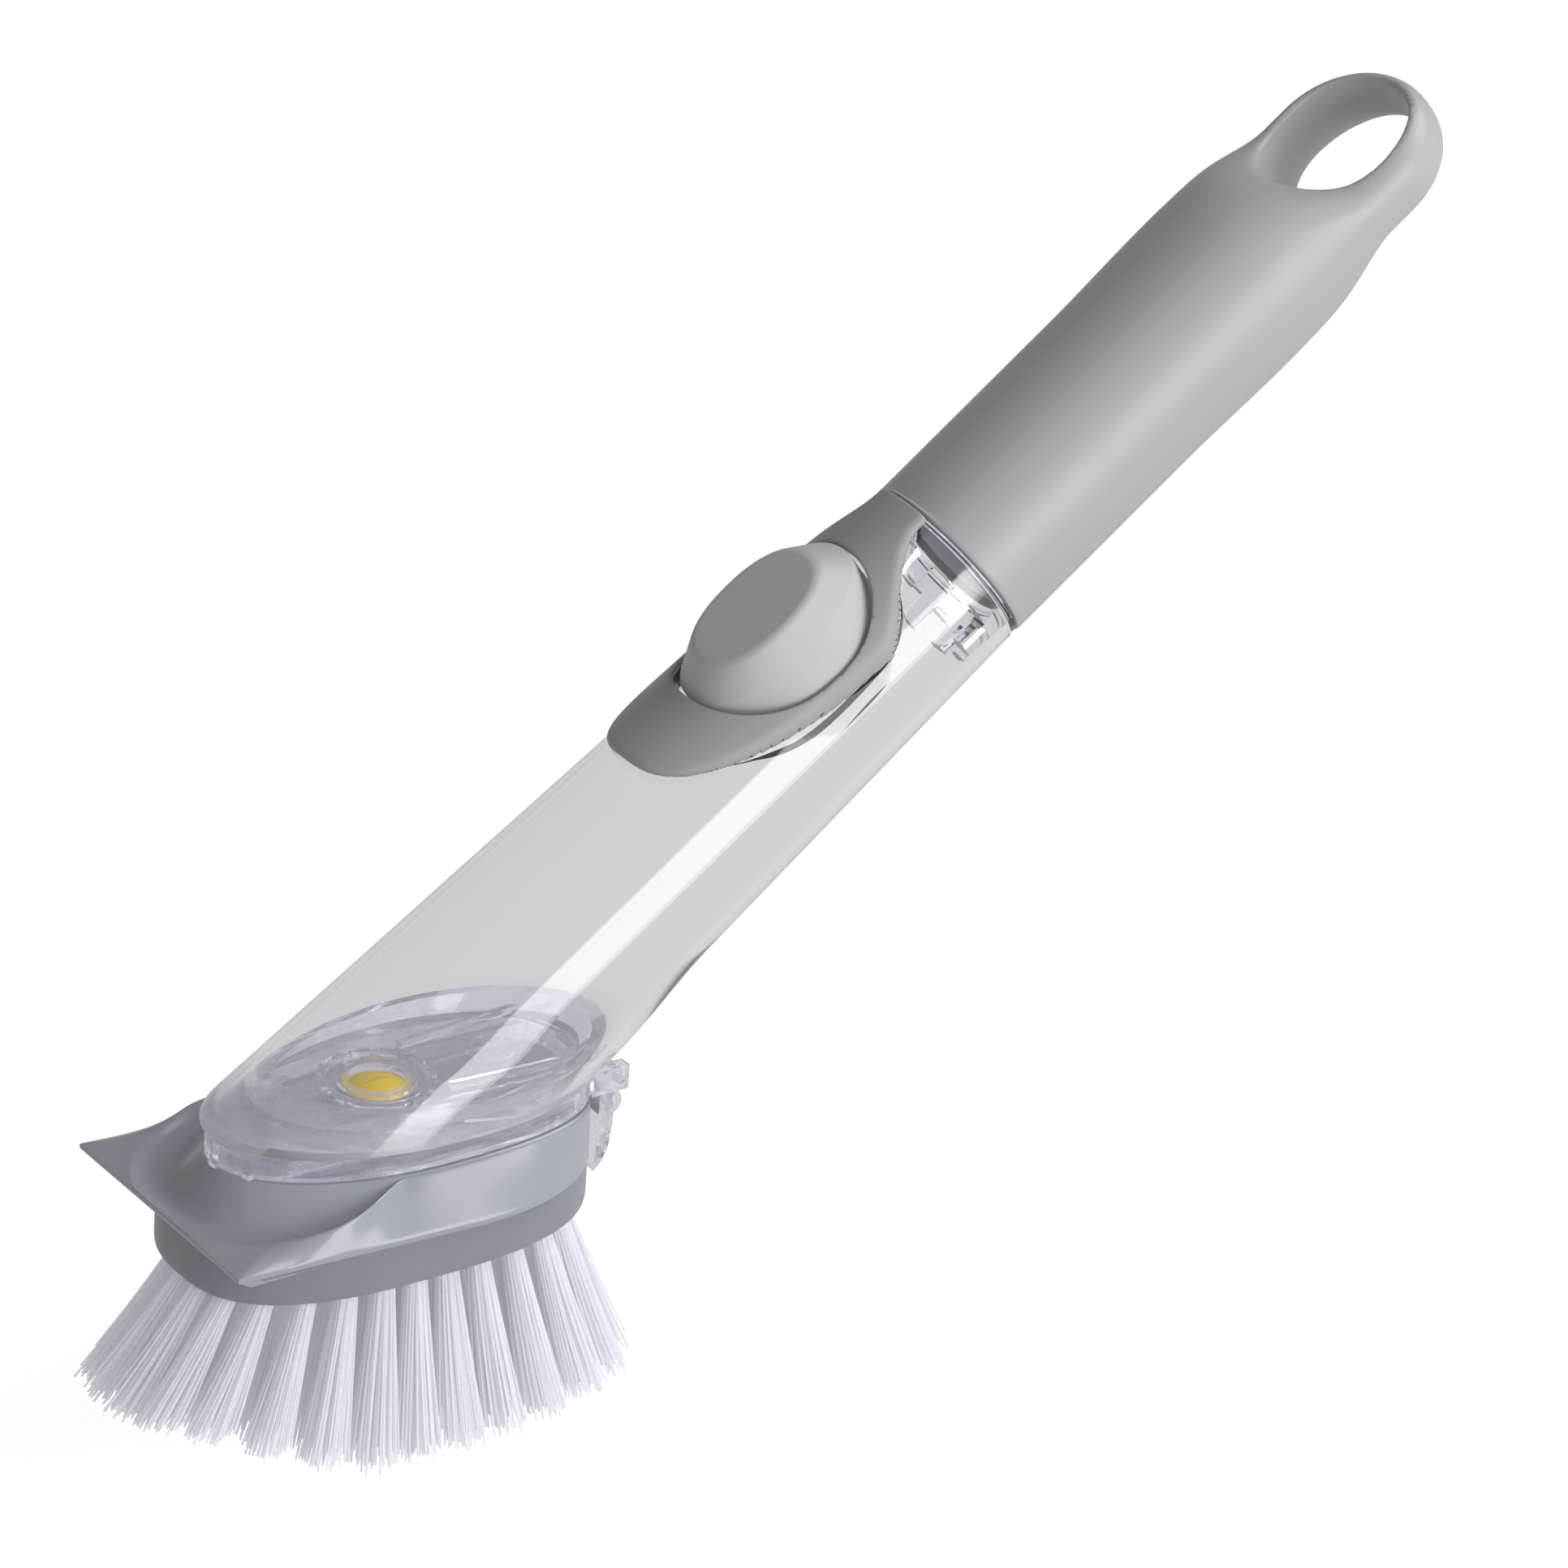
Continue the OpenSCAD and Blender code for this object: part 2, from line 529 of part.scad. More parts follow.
module latch_tongue() color([0.9, 0.93, 0.98, 0.35]) wand() difference() {
  union() {
    // flexing tongue with a curled-in lower end
    translate([0, tongue_half, 0]) rotate([90, 0, 0]) linear_extrude(2 * tongue_half)
      polygon([[hinge_x - 1.4, hinge_z - 1], [hinge_x + 1.3, hinge_z - 0.8], [hinge_x + 1.2, -9],
        [hinge_x + 0.9, -15], [hinge_x + 0.3, -18.6], [hinge_x - 0.9, -21.2], [hinge_x - 2.3, -22.6],
        [hinge_x - 2.3, -20.6], [hinge_x - 2, -18.6], [hinge_x - 1.9, -15], [hinge_x - 1.8, -9]]);
    translate([hinge_x, 0, hinge_z]) rotate([90, 0, 0])
      cylinder(h = 2 * tongue_half, r = 1.7, center = true);
    // pin of the hinge
    translate([hinge_x, 0, hinge_z]) rotate([90, 0, 0])
      cylinder(h = 2 * tongue_half + 5.4, r = 0.65, center = true);
    // two pips that catch in the frame's ramp
    for (s = [-1, 1]) translate([hinge_x - 1.6, s * 3, -11.6]) rotate([0, -90, 0])
      cylinder(h = 1.8, r1 = 1.4, r2 = 0.6);
  }
}

module latch_pad() color([0.72, 0.74, 0.75]) wand() difference() {
  translate([hinge_x + 1.15, 0, -11.2]) rotate([90, 0, 0])
    cylinder(h = 14, r = 2.3, center = true);
  translate([hinge_x - 18.7, -20, -30]) cube([20, 40, 40]);
}

tank_shell();
neck_insert();
foot_plate();
foot_flange();
outlet_valve();
valve_retainer();
spigot_seal();
pump_well();
button_bezel();
pump_bellows();
button_cap();
button_core();
grip();
grip_liner();
grip_seal();
scraper_frame();
bristle_block();
tufts_outer();
tufts_inner();
latch_tongue();
latch_pad();
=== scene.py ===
import math

import bmesh
import bpy
import numpy as np
from mathutils import Matrix, Vector


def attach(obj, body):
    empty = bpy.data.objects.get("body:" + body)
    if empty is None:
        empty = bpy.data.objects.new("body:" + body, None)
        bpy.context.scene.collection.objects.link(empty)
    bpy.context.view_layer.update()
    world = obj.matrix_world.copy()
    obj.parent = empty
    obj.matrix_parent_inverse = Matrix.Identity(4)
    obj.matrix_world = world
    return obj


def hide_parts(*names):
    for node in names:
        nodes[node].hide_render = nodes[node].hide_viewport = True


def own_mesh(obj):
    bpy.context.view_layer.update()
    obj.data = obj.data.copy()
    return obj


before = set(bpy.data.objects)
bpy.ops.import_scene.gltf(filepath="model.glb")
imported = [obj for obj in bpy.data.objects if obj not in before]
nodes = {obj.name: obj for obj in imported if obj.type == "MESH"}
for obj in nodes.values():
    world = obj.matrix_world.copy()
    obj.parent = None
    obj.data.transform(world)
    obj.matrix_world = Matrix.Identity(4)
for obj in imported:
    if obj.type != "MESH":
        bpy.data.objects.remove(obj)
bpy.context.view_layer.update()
scene = bpy.context.scene

# The wand's own frame, in metres: the foot plate's middle, the grip's axis and the button's side.
# Shapes are in millimetres, and from_axis and from_foot bring them into this frame.
MM = 0.001
AHEAD = 0.0613
TIP_LOW = 0.0595
LEAN = math.radians(36.5)
FOOT = Vector((-AHEAD, 0.0, TIP_LOW))
ALONG = Vector((math.cos(LEAN), 0.0, math.sin(LEAN)))
OUT = Vector((-math.sin(LEAN), 0.0, math.cos(LEAN)))
ACROSS = Vector((0.0, 1.0, 0.0))


def new_object(name, data):
    thing = bpy.data.objects.new(name, data)
    scene.collection.objects.link(thing)
    return thing


def axes_at(right, up, back, place):
    """The transform of a thing whose own axes point right, up and back."""
    return Matrix.Translation(place) @ Matrix((right, up, back)).transposed().to_4x4()


def baked(thing):
    """The mesh that a thing has once its modifiers are applied."""
    bpy.context.view_layer.update()
    ready = thing.evaluated_get(bpy.context.evaluated_depsgraph_get())
    return bpy.data.meshes.new_from_object(ready)


# Node trees
def set_inputs(tree, node, inputs):
    """Gives each named input a value, or wires it to another node's output."""
    for key, value in inputs.items():
        if isinstance(value, bpy.types.NodeSocket):
            tree.links.new(value, node.inputs[key])
        else:
            node.inputs[key].default_value = value
    return node


def add_node(tree, kind, inputs=None, **settings):
    node = tree.nodes.new(kind)
    for key, value in settings.items():
        setattr(node, key, value)
    return set_inputs(tree, node, inputs or {})


def maths(tree, operation, *terms):
    return add_node(tree, "ShaderNodeMath", dict(enumerate(terms)), operation=operation).outputs[0]


def vectors(tree, operation, *terms):
    return add_node(tree, "ShaderNodeVectorMath", dict(enumerate(terms)), operation=operation).outputs[0]


def scaled(tree, vector, factor):
    return add_node(tree, "ShaderNodeVectorMath", {0: vector, "Scale": factor}, operation="SCALE").outputs[0]


def ramp(tree, value, start, end, low, high, **settings):
    """Brings what runs from start to end to run from low to high."""
    return add_node(tree, "ShaderNodeMapRange", {
        "Value": value, "From Min": start, "From Max": end, "To Min": low, "To Max": high},
        **settings).outputs["Result"]


def by_ray(tree, lit, glossy, clear, camera):
    """One value for what lights the wand, and others for what glossy, clear and camera rays see."""
    path = tree.nodes.new("ShaderNodeLightPath")
    value = lit
    for ray, seen in (("Is Glossy Ray", glossy), ("Is Transmission Ray", clear), ("Is Camera Ray", camera)):
        pick = add_node(tree, "ShaderNodeMix", {"A": value, "B": seen, "Factor": path.outputs[ray]})
        value = pick.outputs["Result"]
    return value


# Camera, as fitted to the photograph
PHOTO_SIZE = 1932
FOCAL_LENGTH = 12000
SENSOR = 36.0
CAMERA_ANGLES = (-35.88, 27.15, 3.89)
CAMERA_BACK, CAMERA_RIGHT, CAMERA_UP = 1.57895, 0.05527, 0.04528


def make_camera():
    turn, rise, roll = (math.radians(a) for a in CAMERA_ANGLES)
    right = Vector((math.cos(turn), math.sin(turn), 0.0))
    up = Vector((-math.sin(turn) * math.sin(rise), math.cos(turn) * math.sin(rise), math.cos(rise)))
    back = Vector((math.sin(turn) * math.cos(rise), -math.cos(turn) * math.cos(rise), math.sin(rise)))
    right, up = (right * math.cos(roll) + up * math.sin(roll), up * math.cos(roll) - right * math.sin(roll))
    data = bpy.data.cameras.new("camera")
    data.sensor_width = SENSOR
    data.lens = FOCAL_LENGTH / PHOTO_SIZE * SENSOR
    data.clip_start, data.clip_end = 0.05, 50.0
    place = FOOT + back * CAMERA_BACK + right * CAMERA_RIGHT + up * CAMERA_UP
    scene.camera = new_object("camera", data)
    scene.camera.matrix_world = axes_at(right, up, back, place)


# Light and surroundings. The levels are for what lights the wand, and for what glossy, clear and
# camera rays see. The first two of the world's run from its dark side to its pale side.
MIDDLE = Vector((0.0, 0.0, 0.1))
WORLD_LEVELS = ((0.2, 0.56), (0.35, 0.8), 0.7, 1.0)
PALE_SIDE = (-0.1, -0.85, -0.3)
FLOOR_LEVELS = (0.42, 0.45, 0.56, 0.9)
FLOOR_REACH = 3.0
FLOOR_DROP = 0.0002


def make_world():
    """A pale studio, darker above on the left and brighter low on the right."""
    world = bpy.data.worlds.new("studio")
    world.use_nodes = True
    scene.world = world
    tree = world.node_tree
    place = tree.nodes.new("ShaderNodeTexCoord").outputs["Generated"]
    side = add_node(tree, "ShaderNodeVectorMath", {0: place, 1: PALE_SIDE}, operation="DOT_PRODUCT")
    lit, glossy = (ramp(tree, side.outputs["Value"], -0.9, 0.9, *ends) for ends in WORLD_LEVELS[:2])
    set_inputs(tree, tree.nodes["Background"], {
        "Color": (1, 1, 1, 1), "Strength": by_ray(tree, lit, glossy, *WORLD_LEVELS[2:])})


def make_floor():
    corners = [(x * FLOOR_REACH, y * FLOOR_REACH, 0) for x, y in ((-1, -1), (1, -1), (1, 1), (-1, 1))]
    mesh = bpy.data.meshes.new("floor")
    mesh.from_pydata(corners, [], [(0, 1, 2, 3)])
    floor = new_object("floor", mesh)
    floor.location.z = -FLOOR_DROP
    mat = bpy.data.materials.new("pale_floor")
    mat.use_nodes = True
    tree = mat.node_tree
    tree.nodes.clear()
    matt = add_node(tree, "ShaderNodeBsdfDiffuse", {"Color": (0.2, 0.2, 0.2, 1)})
    glow = add_node(tree, "ShaderNodeEmission", {"Strength": by_ray(tree, *FLOOR_LEVELS)})
    both = add_node(tree, "ShaderNodeAddShader", {0: matt.outputs[0], 1: glow.outputs[0]})
    add_node(tree, "ShaderNodeOutputMaterial", {"Surface": both.outputs[0]})
    mesh.materials.append(mat)


def area_light(name, offset, size, power, lie=Vector((1, 0, 0))):
    """A softbox aimed at the wand's middle, whose first side lies along a direction."""
    data = bpy.data.lights.new(name, "AREA")
    data.shape = "RECTANGLE"
    data.size, data.size_y = size
    data.energy = power
    place = MIDDLE + Vector(offset)
    back = (place - MIDDLE).normalized()
    side = (lie - back * lie.dot(back)).normalized()
    new_object(name, data).matrix_world = axes_at(side, back.cross(side), back, place)


make_camera()
make_world()
make_floor()
area_light("right_softbox", (0.19, -0.975, 0.12), (1.15, 0.7), 10.0, ALONG)
area_light("rear_softbox", (0.85, -0.2, 0.95), (0.8, 0.8), 8.0)


# Finishes
PLASTIC_IOR = 1.47
CLEAR_IOR = 1.5
CLOUD_TINT = (0.93, 0.935, 0.985, 1)
# Between these heights the tank's wall thickens into the foot, and holds more light.
CLOUD_FROM, CLOUD_FULL = TIP_LOW + 0.004, TIP_LOW - 0.001
CLOUD_STRETCH = (0.35, 1.0, 2.2)


def new_material(name):
    """A material, its tree, its Principled shader and the place on the object."""
    mat = bpy.data.materials.new(name)
    mat.use_nodes = True
    tree = mat.node_tree
    skin = tree.nodes["Principled BSDF"]
    return mat, tree, skin, tree.nodes.new("ShaderNodeTexCoord").outputs["Object"]


def noise(tree, place, scale, detail=2.0, rough=0.5):
    return add_node(tree, "ShaderNodeTexNoise", {
        "Scale": scale, "Detail": detail, "Roughness": rough, "Vector": place}).outputs["Fac"]


def spread(tree, fac, low, high):
    """Spreads the middle of a noise's range over low to high."""
    return ramp(tree, fac, 0.3, 0.7, low, high)


def bumped(tree, skin, fac, strength, depth):
    bump = add_node(tree, "ShaderNodeBump", {"Strength": strength, "Distance": depth, "Height": fac})
    set_inputs(tree, skin, {"Normal": bump.outputs["Normal"]})


def mix_colours(tree, fac, first, second):
    return add_node(tree, "ShaderNodeMix", {"A": (*first, 1), "B": (*second, 1), "Factor": fac},
                    data_type="RGBA").outputs["Result"]


def mix_shaders(tree, fac, first, second):
    return add_node(tree, "ShaderNodeMixShader", {"Fac": fac, 1: first, 2: second}).outputs[0]


def moulded(name, colour, rough, grain=1400.0, depth=0.00004, cloud=0.03, coat=0.0, soft=0.0):
    """Opaque moulded plastic or rubber: fine moulded grain, faint flow clouds and uneven sheen."""
    mat, tree, skin, place = new_material(name)
    darker, paler = [c * (1 - cloud) for c in colour], [min(1, c * (1 + cloud)) for c in colour]
    set_inputs(tree, skin, {
        "Base Color": mix_colours(tree, noise(tree, place, 55.0, 3.0), darker, paler),
        "Roughness": spread(tree, noise(tree, place, 260.0, 3.0), rough - 0.04, rough + 0.05),
        "IOR": PLASTIC_IOR, "Coat Weight": coat, "Coat Roughness": 0.2,
        "Sheen Weight": soft, "Sheen Roughness": 0.45})
    bumped(tree, skin, noise(tree, place, grain), 0.35, depth)
    return mat


def clear_plastic(name, tint, rough=0.02, ripple=0.00003, cloudy=0.0, foot_cloud=0.0, quiet=1.5):
    """Clear moulded plastic with a faint ripple left by the mould, and light held in its thick parts.

    Beyond the transmission depth quiet, a wall passes light on without a mirror image of its own.
    """
    mat, tree, skin, place = new_material(name)
    uneven = spread(tree, noise(tree, place, 300.0), rough * 0.5, rough * 1.6)
    set_inputs(tree, skin, {
        "Base Color": (*tint, 1), "Transmission Weight": 1.0, "IOR": CLEAR_IOR, "Roughness": uneven})
    bumped(tree, skin, noise(tree, place, 90.0, 1.5), 0.25, ripple)
    path = tree.nodes.new("ShaderNodeLightPath").outputs
    passed = add_node(tree, "ShaderNodeBsdfRefraction", {
        "Color": (*tint, 1), "IOR": CLEAR_IOR, "Roughness": uneven})
    deep = maths(tree, "GREATER_THAN", path["Transmission Depth"], quiet)
    glass = mix_shaders(tree, deep, skin.outputs[0], passed.outputs[0])
    if foot_cloud:
        height = add_node(tree, "ShaderNodeSeparateXYZ", {0: place}).outputs["Z"]
        amount = ramp(tree, height, CLOUD_FROM, CLOUD_FULL, 0.0, foot_cloud, interpolation_type="SMOOTHSTEP")
    elif cloudy:
        streaks = noise(tree, vectors(tree, "MULTIPLY", place, CLOUD_STRETCH), 330.0, 3.0, 0.6)
        amount = spread(tree, streaks, 0.0, cloudy)
    if foot_cloud or cloudy:
        held, through = (add_node(tree, kind, {"Color": CLOUD_TINT}).outputs[0]
                         for kind in ("ShaderNodeBsdfDiffuse", "ShaderNodeBsdfTranslucent"))
        glass = mix_shaders(tree, amount, glass, mix_shaders(tree, 0.6, held, through))
    # light reaches what is inside
    unseen = add_node(tree, "ShaderNodeBsdfTransparent", {"Color": (*[c * 0.97 for c in tint], 1)})
    soft = maths(tree, "MAXIMUM", path["Is Shadow Ray"], path["Is Diffuse Ray"])
    glass = mix_shaders(tree, soft, glass, unseen.outputs[0])
    set_inputs(tree, tree.nodes["Material Output"], {"Surface": glass})
    return mat


def nylon(name, colour):
    """White bristles, which pass light on to each other, with a faint painted glow; each strand has its own
    slight tone.
    """
    mat, tree, skin, place = new_material(name)
    tone = add_node(tree, "ShaderNodeAttribute", attribute_name="tone").outputs["Fac"]
    shade = mix_colours(tree, tone, [c * 0.94 for c in colour], colour)
    # painted glow: a faint emission brightens the strands, in place of light that they scatter among themselves
    set_inputs(tree, skin, {
        "Base Color": shade, "Roughness": spread(tree, noise(tree, place, 900.0), 0.3, 0.45),
        "Emission Color": (*colour, 1), "Emission Strength": 0.1})
    thin = add_node(tree, "ShaderNodeBsdfTranslucent", {"Color": shade})
    strand = mix_shaders(tree, 0.65, skin.outputs[0], thin.outputs[0])
    set_inputs(tree, tree.nodes["Material Output"], {"Surface": strand})
    return mat


CLEAR_TUBE = clear_plastic("clear_tube_plastic", (0.965, 0.955, 0.97), foot_cloud=0.3)
CLEAR_FOOT = clear_plastic("clear_foot_plastic", (0.955, 0.957, 0.985), 0.03, 0.00006, 0.34, quiet=60)
CLEAR_WELL = clear_plastic("clear_well_plastic", (0.99, 0.99, 0.99), 0.03)
CLEAR_NECK = clear_plastic("clear_neck_plastic", (0.95, 0.95, 0.98), 0.03, quiet=60)
GRIP_GREY = moulded("grip_grey_plastic", (0.372, 0.378, 0.385), 0.36)
BEZEL_GREY = moulded("bezel_grey_plastic", (0.3, 0.305, 0.308), 0.42)
BUTTON_GREY = moulded("button_soft_rubber", (0.445, 0.452, 0.458), 0.5, 1800.0, 0.00003, 0.02, soft=0.1)
FRAME_GREY = moulded("frame_cool_grey_plastic", (0.3, 0.32, 0.35), 0.2, 900.0, 0.00002, coat=0.4)
BLOCK_GREY = moulded("block_grey_plastic", (0.225, 0.24, 0.265), 0.34, 900.0, 0.00003)
VALVE_YELLOW = moulded("valve_yellow_silicone", (0.9, 0.66, 0.02), 0.35)
SEAL_BLACK = moulded("seal_black_rubber", (0.02, 0.02, 0.022), 0.5)
PUMP_PALE = moulded("pump_pale_silicone", (0.6, 0.6, 0.6), 0.4)
LINER_WHITE = moulded("liner_white_plastic", (0.6, 0.61, 0.62), 0.35)
NYLON = nylon("bristle_white_nylon", (0.96, 0.96, 0.985))
PAD_GREY = moulded("pad_grey_rubber", (0.5, 0.52, 0.54), 0.45)

FINISH = {
    "tank_shell": CLEAR_TUBE, "neck_insert": CLEAR_NECK, "foot_plate": CLEAR_FOOT, "foot_flange": CLEAR_FOOT,
    "outlet_valve": VALVE_YELLOW, "valve_retainer": CLEAR_FOOT, "spigot_seal": SEAL_BLACK,
    "pump_well": CLEAR_WELL, "button_bezel": BEZEL_GREY, "pump_bellows": PUMP_PALE,
    "button_cap": BUTTON_GREY, "button_core": LINER_WHITE, "grip": GRIP_GREY, "grip_liner": LINER_WHITE,
    "grip_seal": SEAL_BLACK, "scraper_frame": FRAME_GREY, "bristle_block": BLOCK_GREY,
    "tufts_outer": NYLON, "tufts_inner": NYLON, "latch_tongue": CLEAR_FOOT, "latch_pad": PAD_GREY,
}
for name, mat in FINISH.items():
    mesh = nodes[name].data
    mesh.materials.clear()
    mesh.materials.append(mat)


# Fields, nets and lofts. Every length from here on is in millimetres, unless it says otherwise.
NET_STEPS = 6
PROBE = 0.01


def smooth(u):
    """Rises from 0 to 1 as u does, and starts and ends level."""
    v = np.clip(u, 0.0, 1.0)
    return v * v * (3 - 2 * v)


def mix(a, b, u):
    return a + (b - a) * u


def join_max(a, b, k):
    """The greater of two fields, with the edge between them rounded over a width k."""
    h = np.clip(1 - np.abs(a - b) / k, 0, None)
    return np.maximum(a, b) + h * h * k / 4


def oval_reach(a, b, power, angle):
    """How far a rounded oval reaches from its middle in the direction of an angle."""
    return ((np.abs(np.cos(angle)) / a) ** power + (np.abs(np.sin(angle)) / b) ** power) ** (-1 / power)


def oval_field(x, y, a, b, power):
    """Signed distance, nearly, from a rounded oval."""
    r = np.hypot(x, y) + 1e-9
    return r - oval_reach(a, b, power, np.arctan2(y, x))


def surface_nets(field, low, high, step):
    """A closed quad mesh on the zero level of a field, with its points slid onto that level."""
    axes = [np.arange(a, b + step, step) for a, b in zip(low, high)]
    grid = np.stack(np.meshgrid(*axes, indexing="ij"), -1)
    inside = field(grid.reshape(-1, 3)).reshape(grid.shape[:3]) < 0
    shape = tuple(n - 1 for n in inside.shape)
    count = np.zeros(shape, int)
    for di in (0, 1):
        for dj in (0, 1):
            for dk in (0, 1):
                count += inside[di:di + shape[0], dj:dj + shape[1], dk:dk + shape[2]]
    cells = np.argwhere((count > 0) & (count < 8))
    number = -np.ones(shape, int)
    number[tuple(cells.T)] = np.arange(len(cells))
    start = np.array(low) + (cells + 0.5) * step
    points = start.copy()
    # a point stays within one step of its cell
    for _ in range(NET_STEPS):
        value = field(points)
        slope = np.stack([(field(points + e) - field(points - e)) / (2 * PROBE) for e in np.eye(3) * PROBE], -1)
        points = points - np.clip(value / ((slope ** 2).sum(1) + 0.01), -step, step)[:, None] * slope
        points = start + np.clip(points - start, -step, step)
    # one quad for each grid edge that crosses the surface, turned to face out
    quads = []
    for a in range(3):
        b, c = (a + 1) % 3, (a + 2) % 3
        ahead = np.moveaxis(inside, a, 0)
        turned = np.argwhere(ahead[1:] != ahead[:-1])
        full = np.zeros_like(turned)
        full[:, [a] + [k for k in range(3) if k != a]] = turned
        full = full[(full[:, b] > 0) & (full[:, c] > 0) & (full[:, b] < shape[b]) & (full[:, c] < shape[c])]
        ring = []
        for db, dc in ((1, 1), (0, 1), (0, 0), (1, 0)):
            cell = full.copy()
            cell[:, b] -= db
            cell[:, c] -= dc
            ring.append(number[tuple(cell.T)])
        ring = np.stack(ring, 1)
        leaving = ~inside[tuple(full.T)]
        ring[leaving] = ring[leaving][:, ::-1]
        quads.append(ring)
    return points, [tuple(q) for q in np.concatenate(quads).tolist()]


def loft(rings, closed=False):
    """Skin through equal rings; its ends are capped with fans, or joined to each other."""
    rings = [np.asarray(r, float) for r in rings]
    m, n = len(rings), len(rings[0])
    points = np.concatenate(rings)
    faces = []
    for k in range(m if closed else m - 1):
        low, high = k * n, ((k + 1) % m) * n
        faces += [(low + i, low + (i + 1) % n, high + (i + 1) % n, high + i) for i in range(n)]
    if not closed:
        points = np.concatenate([points, [rings[0].mean(0)], [rings[-1].mean(0)]])
        faces += [((i + 1) % n, i, m * n) for i in range(n)]
        faces += [((m - 1) * n + i, (m - 1) * n + (i + 1) % n, m * n + 1) for i in range(n)]
    return points, faces


def facing_out(points, faces):
    """The same faces, all turned over if they enclose less than nothing."""
    volume = 0.0
    for f in faces:
        a = points[f[0]]
        for i in range(1, len(f) - 1):
            volume += np.dot(a, np.cross(points[f[i]], points[f[i + 1]]))
    return faces if volume > 0 else [tuple(reversed(f)) for f in faces]


def new_mesh(name, points, faces):
    """A mesh from points in metres."""
    mesh = bpy.data.meshes.new(name)
    mesh.from_pydata([tuple(p) for p in points], [], facing_out(points, faces))
    return mesh


def add_piece(name, points, faces, finish, body, node, crease=None):
    """A finished piece from points in metres, which stands for a CAD node."""
    mesh = new_mesh(name, points, faces)
    mesh.validate()
    mesh.shade_smooth()
    if crease:
        mesh.set_sharp_from_angle(angle=math.radians(crease))
    mesh.materials.append(finish)
    piece = new_object(name, mesh)
    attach(piece, body)
    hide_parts(node)
    return piece


def from_axis(points):
    """Points given as along the axis, out to the button and across, moved to the wand's frame."""
    p = np.asarray(points) * MM
    return np.array(FOOT) + p[:, :1] * np.array(ALONG) + p[:, 1:2] * np.array(OUT) + p[:, 2:] * np.array(ACROSS)


def from_foot(points):
    """Points given from the foot plate's middle, with level axes, moved to the wand's frame."""
    return np.array(FOOT) + np.asarray(points) * MM


# Places along the grip's axis, from the foot plate
SEAM = 117.0
BUTTON_AT = 86.6
# Middles along X: of the foot's oval, the spigot, the pocket in the head, and the block
FOOT_X, SPIGOT_X, POCKET_X, BLOCK_X = -9.0, -12.8, -10.0, -12.6


def level_ring(r, turn, middle, z):
    """A level ring round an upright axis."""
    return np.stack([middle + r * np.cos(turn), r * np.sin(turn), np.full_like(turn, z)], 1)


def button_ring(r, turn, n):
    """A ring round the button's axis, n out from the grip's axis."""
    return np.stack([BUTTON_AT + r * np.cos(turn), np.full_like(turn, n), r * np.sin(turn)], 1)


def full_turn(count):
    return np.linspace(0, 2 * math.pi, count, endpoint=False)


# Grip: a swollen tube whose end is scooped on both faces into a hanging loop
LOOP = 95.5
LOOP_HOLE = (13.3, 11.9)
LOOP_OUT, LOOP_UNDER = 7.2, 6.2
LOOP_ROUND = 4.5
SCOOP_AHEAD, SCOOP_RUN, SCOOP_SLOPE = 27, 22, 0.85
GRIP_R = 16.0
GRIP_SWELL = 0.45
GRIP_CLEAR = 18.0
GRIP_CELL = 0.56
GRIP_MOUTH = 0.7
# The rim's chamfer, the liner's socket and the hollow, as places from the seam and radii
GRIP_INSIDE = ((GRIP_MOUTH, GRIP_R), (0.36, 15.84), (0.2, 15.5), (0.2, 14.7), (17.0, 14.7), (17.0, 12.2),
               (62.0, 12.2))


def grip_radius(z):
    return GRIP_R + GRIP_SWELL * smooth((z - 40) / 24) - GRIP_SWELL * smooth((z - 64) / 20)


def grip_field(p):
    z, n, y = p[:, 0], p[:, 1], p[:, 2]
    tube = np.where(z < LOOP, np.hypot(n, y), np.sqrt(n * n + y * y + (z - LOOP) ** 2)) - grip_radius(z)
    scoop = smooth((z - LOOP + SCOOP_AHEAD) / SCOOP_RUN)
    top = (n - mix(GRIP_CLEAR, LOOP_OUT, scoop)) * SCOOP_SLOPE
    low = (-n - mix(GRIP_CLEAR, LOOP_UNDER, scoop)) * SCOOP_SLOPE
    body = join_max(join_max(tube, top, LOOP_ROUND), low, LOOP_ROUND)
    hole = 12.5 * (1 - np.sqrt(((z - LOOP) / LOOP_HOLE[0]) ** 2 + (y / LOOP_HOLE[1]) ** 2))
    return join_max(body, hole, 1.6)


def make_grip():
    points, faces = surface_nets(grip_field, (-2.5, -17.3, -17.3), (113.0, 17.3, 17.3), GRIP_CELL)
    bm = bmesh.new()
    verts = [bm.verts.new(p) for p in points]
    for f in faces:
        bm.faces.new([verts[i] for i in f])
    bmesh.ops.bisect_plane(bm, geom=bm.verts[:] + bm.edges[:] + bm.faces[:], dist=0.02,
                           plane_co=(GRIP_MOUTH, 0, 0), plane_no=(1, 0, 0), clear_inner=True)
    rim = [e for e in bm.edges if e.is_boundary]
    for k, (z, r) in enumerate(GRIP_INSIDE):
        if k:
            grown = bmesh.ops.extrude_edge_only(bm, edges=rim)["geom"]
            rim = [e for e in grown if isinstance(e, bmesh.types.BMEdge) and e.is_boundary]
        for v in {v for e in rim for v in e.verts}:
            turn = math.atan2(v.co.z, v.co.y)
            v.co = (z, r * math.cos(turn), r * math.sin(turn))
    bmesh.ops.contextual_create(bm, geom=rim)
    bmesh.ops.recalc_face_normals(bm, faces=bm.faces[:])
    bm.verts.index_update()
    points = np.array([v.co[:] for v in bm.verts]) + (SEAM, 0, 0)
    faces = [tuple(v.index for v in f.verts) for f in bm.faces]
    bm.free()
    add_piece("grip_body", from_axis(points), faces, GRIP_GREY, "grip_turning", "grip", 32)


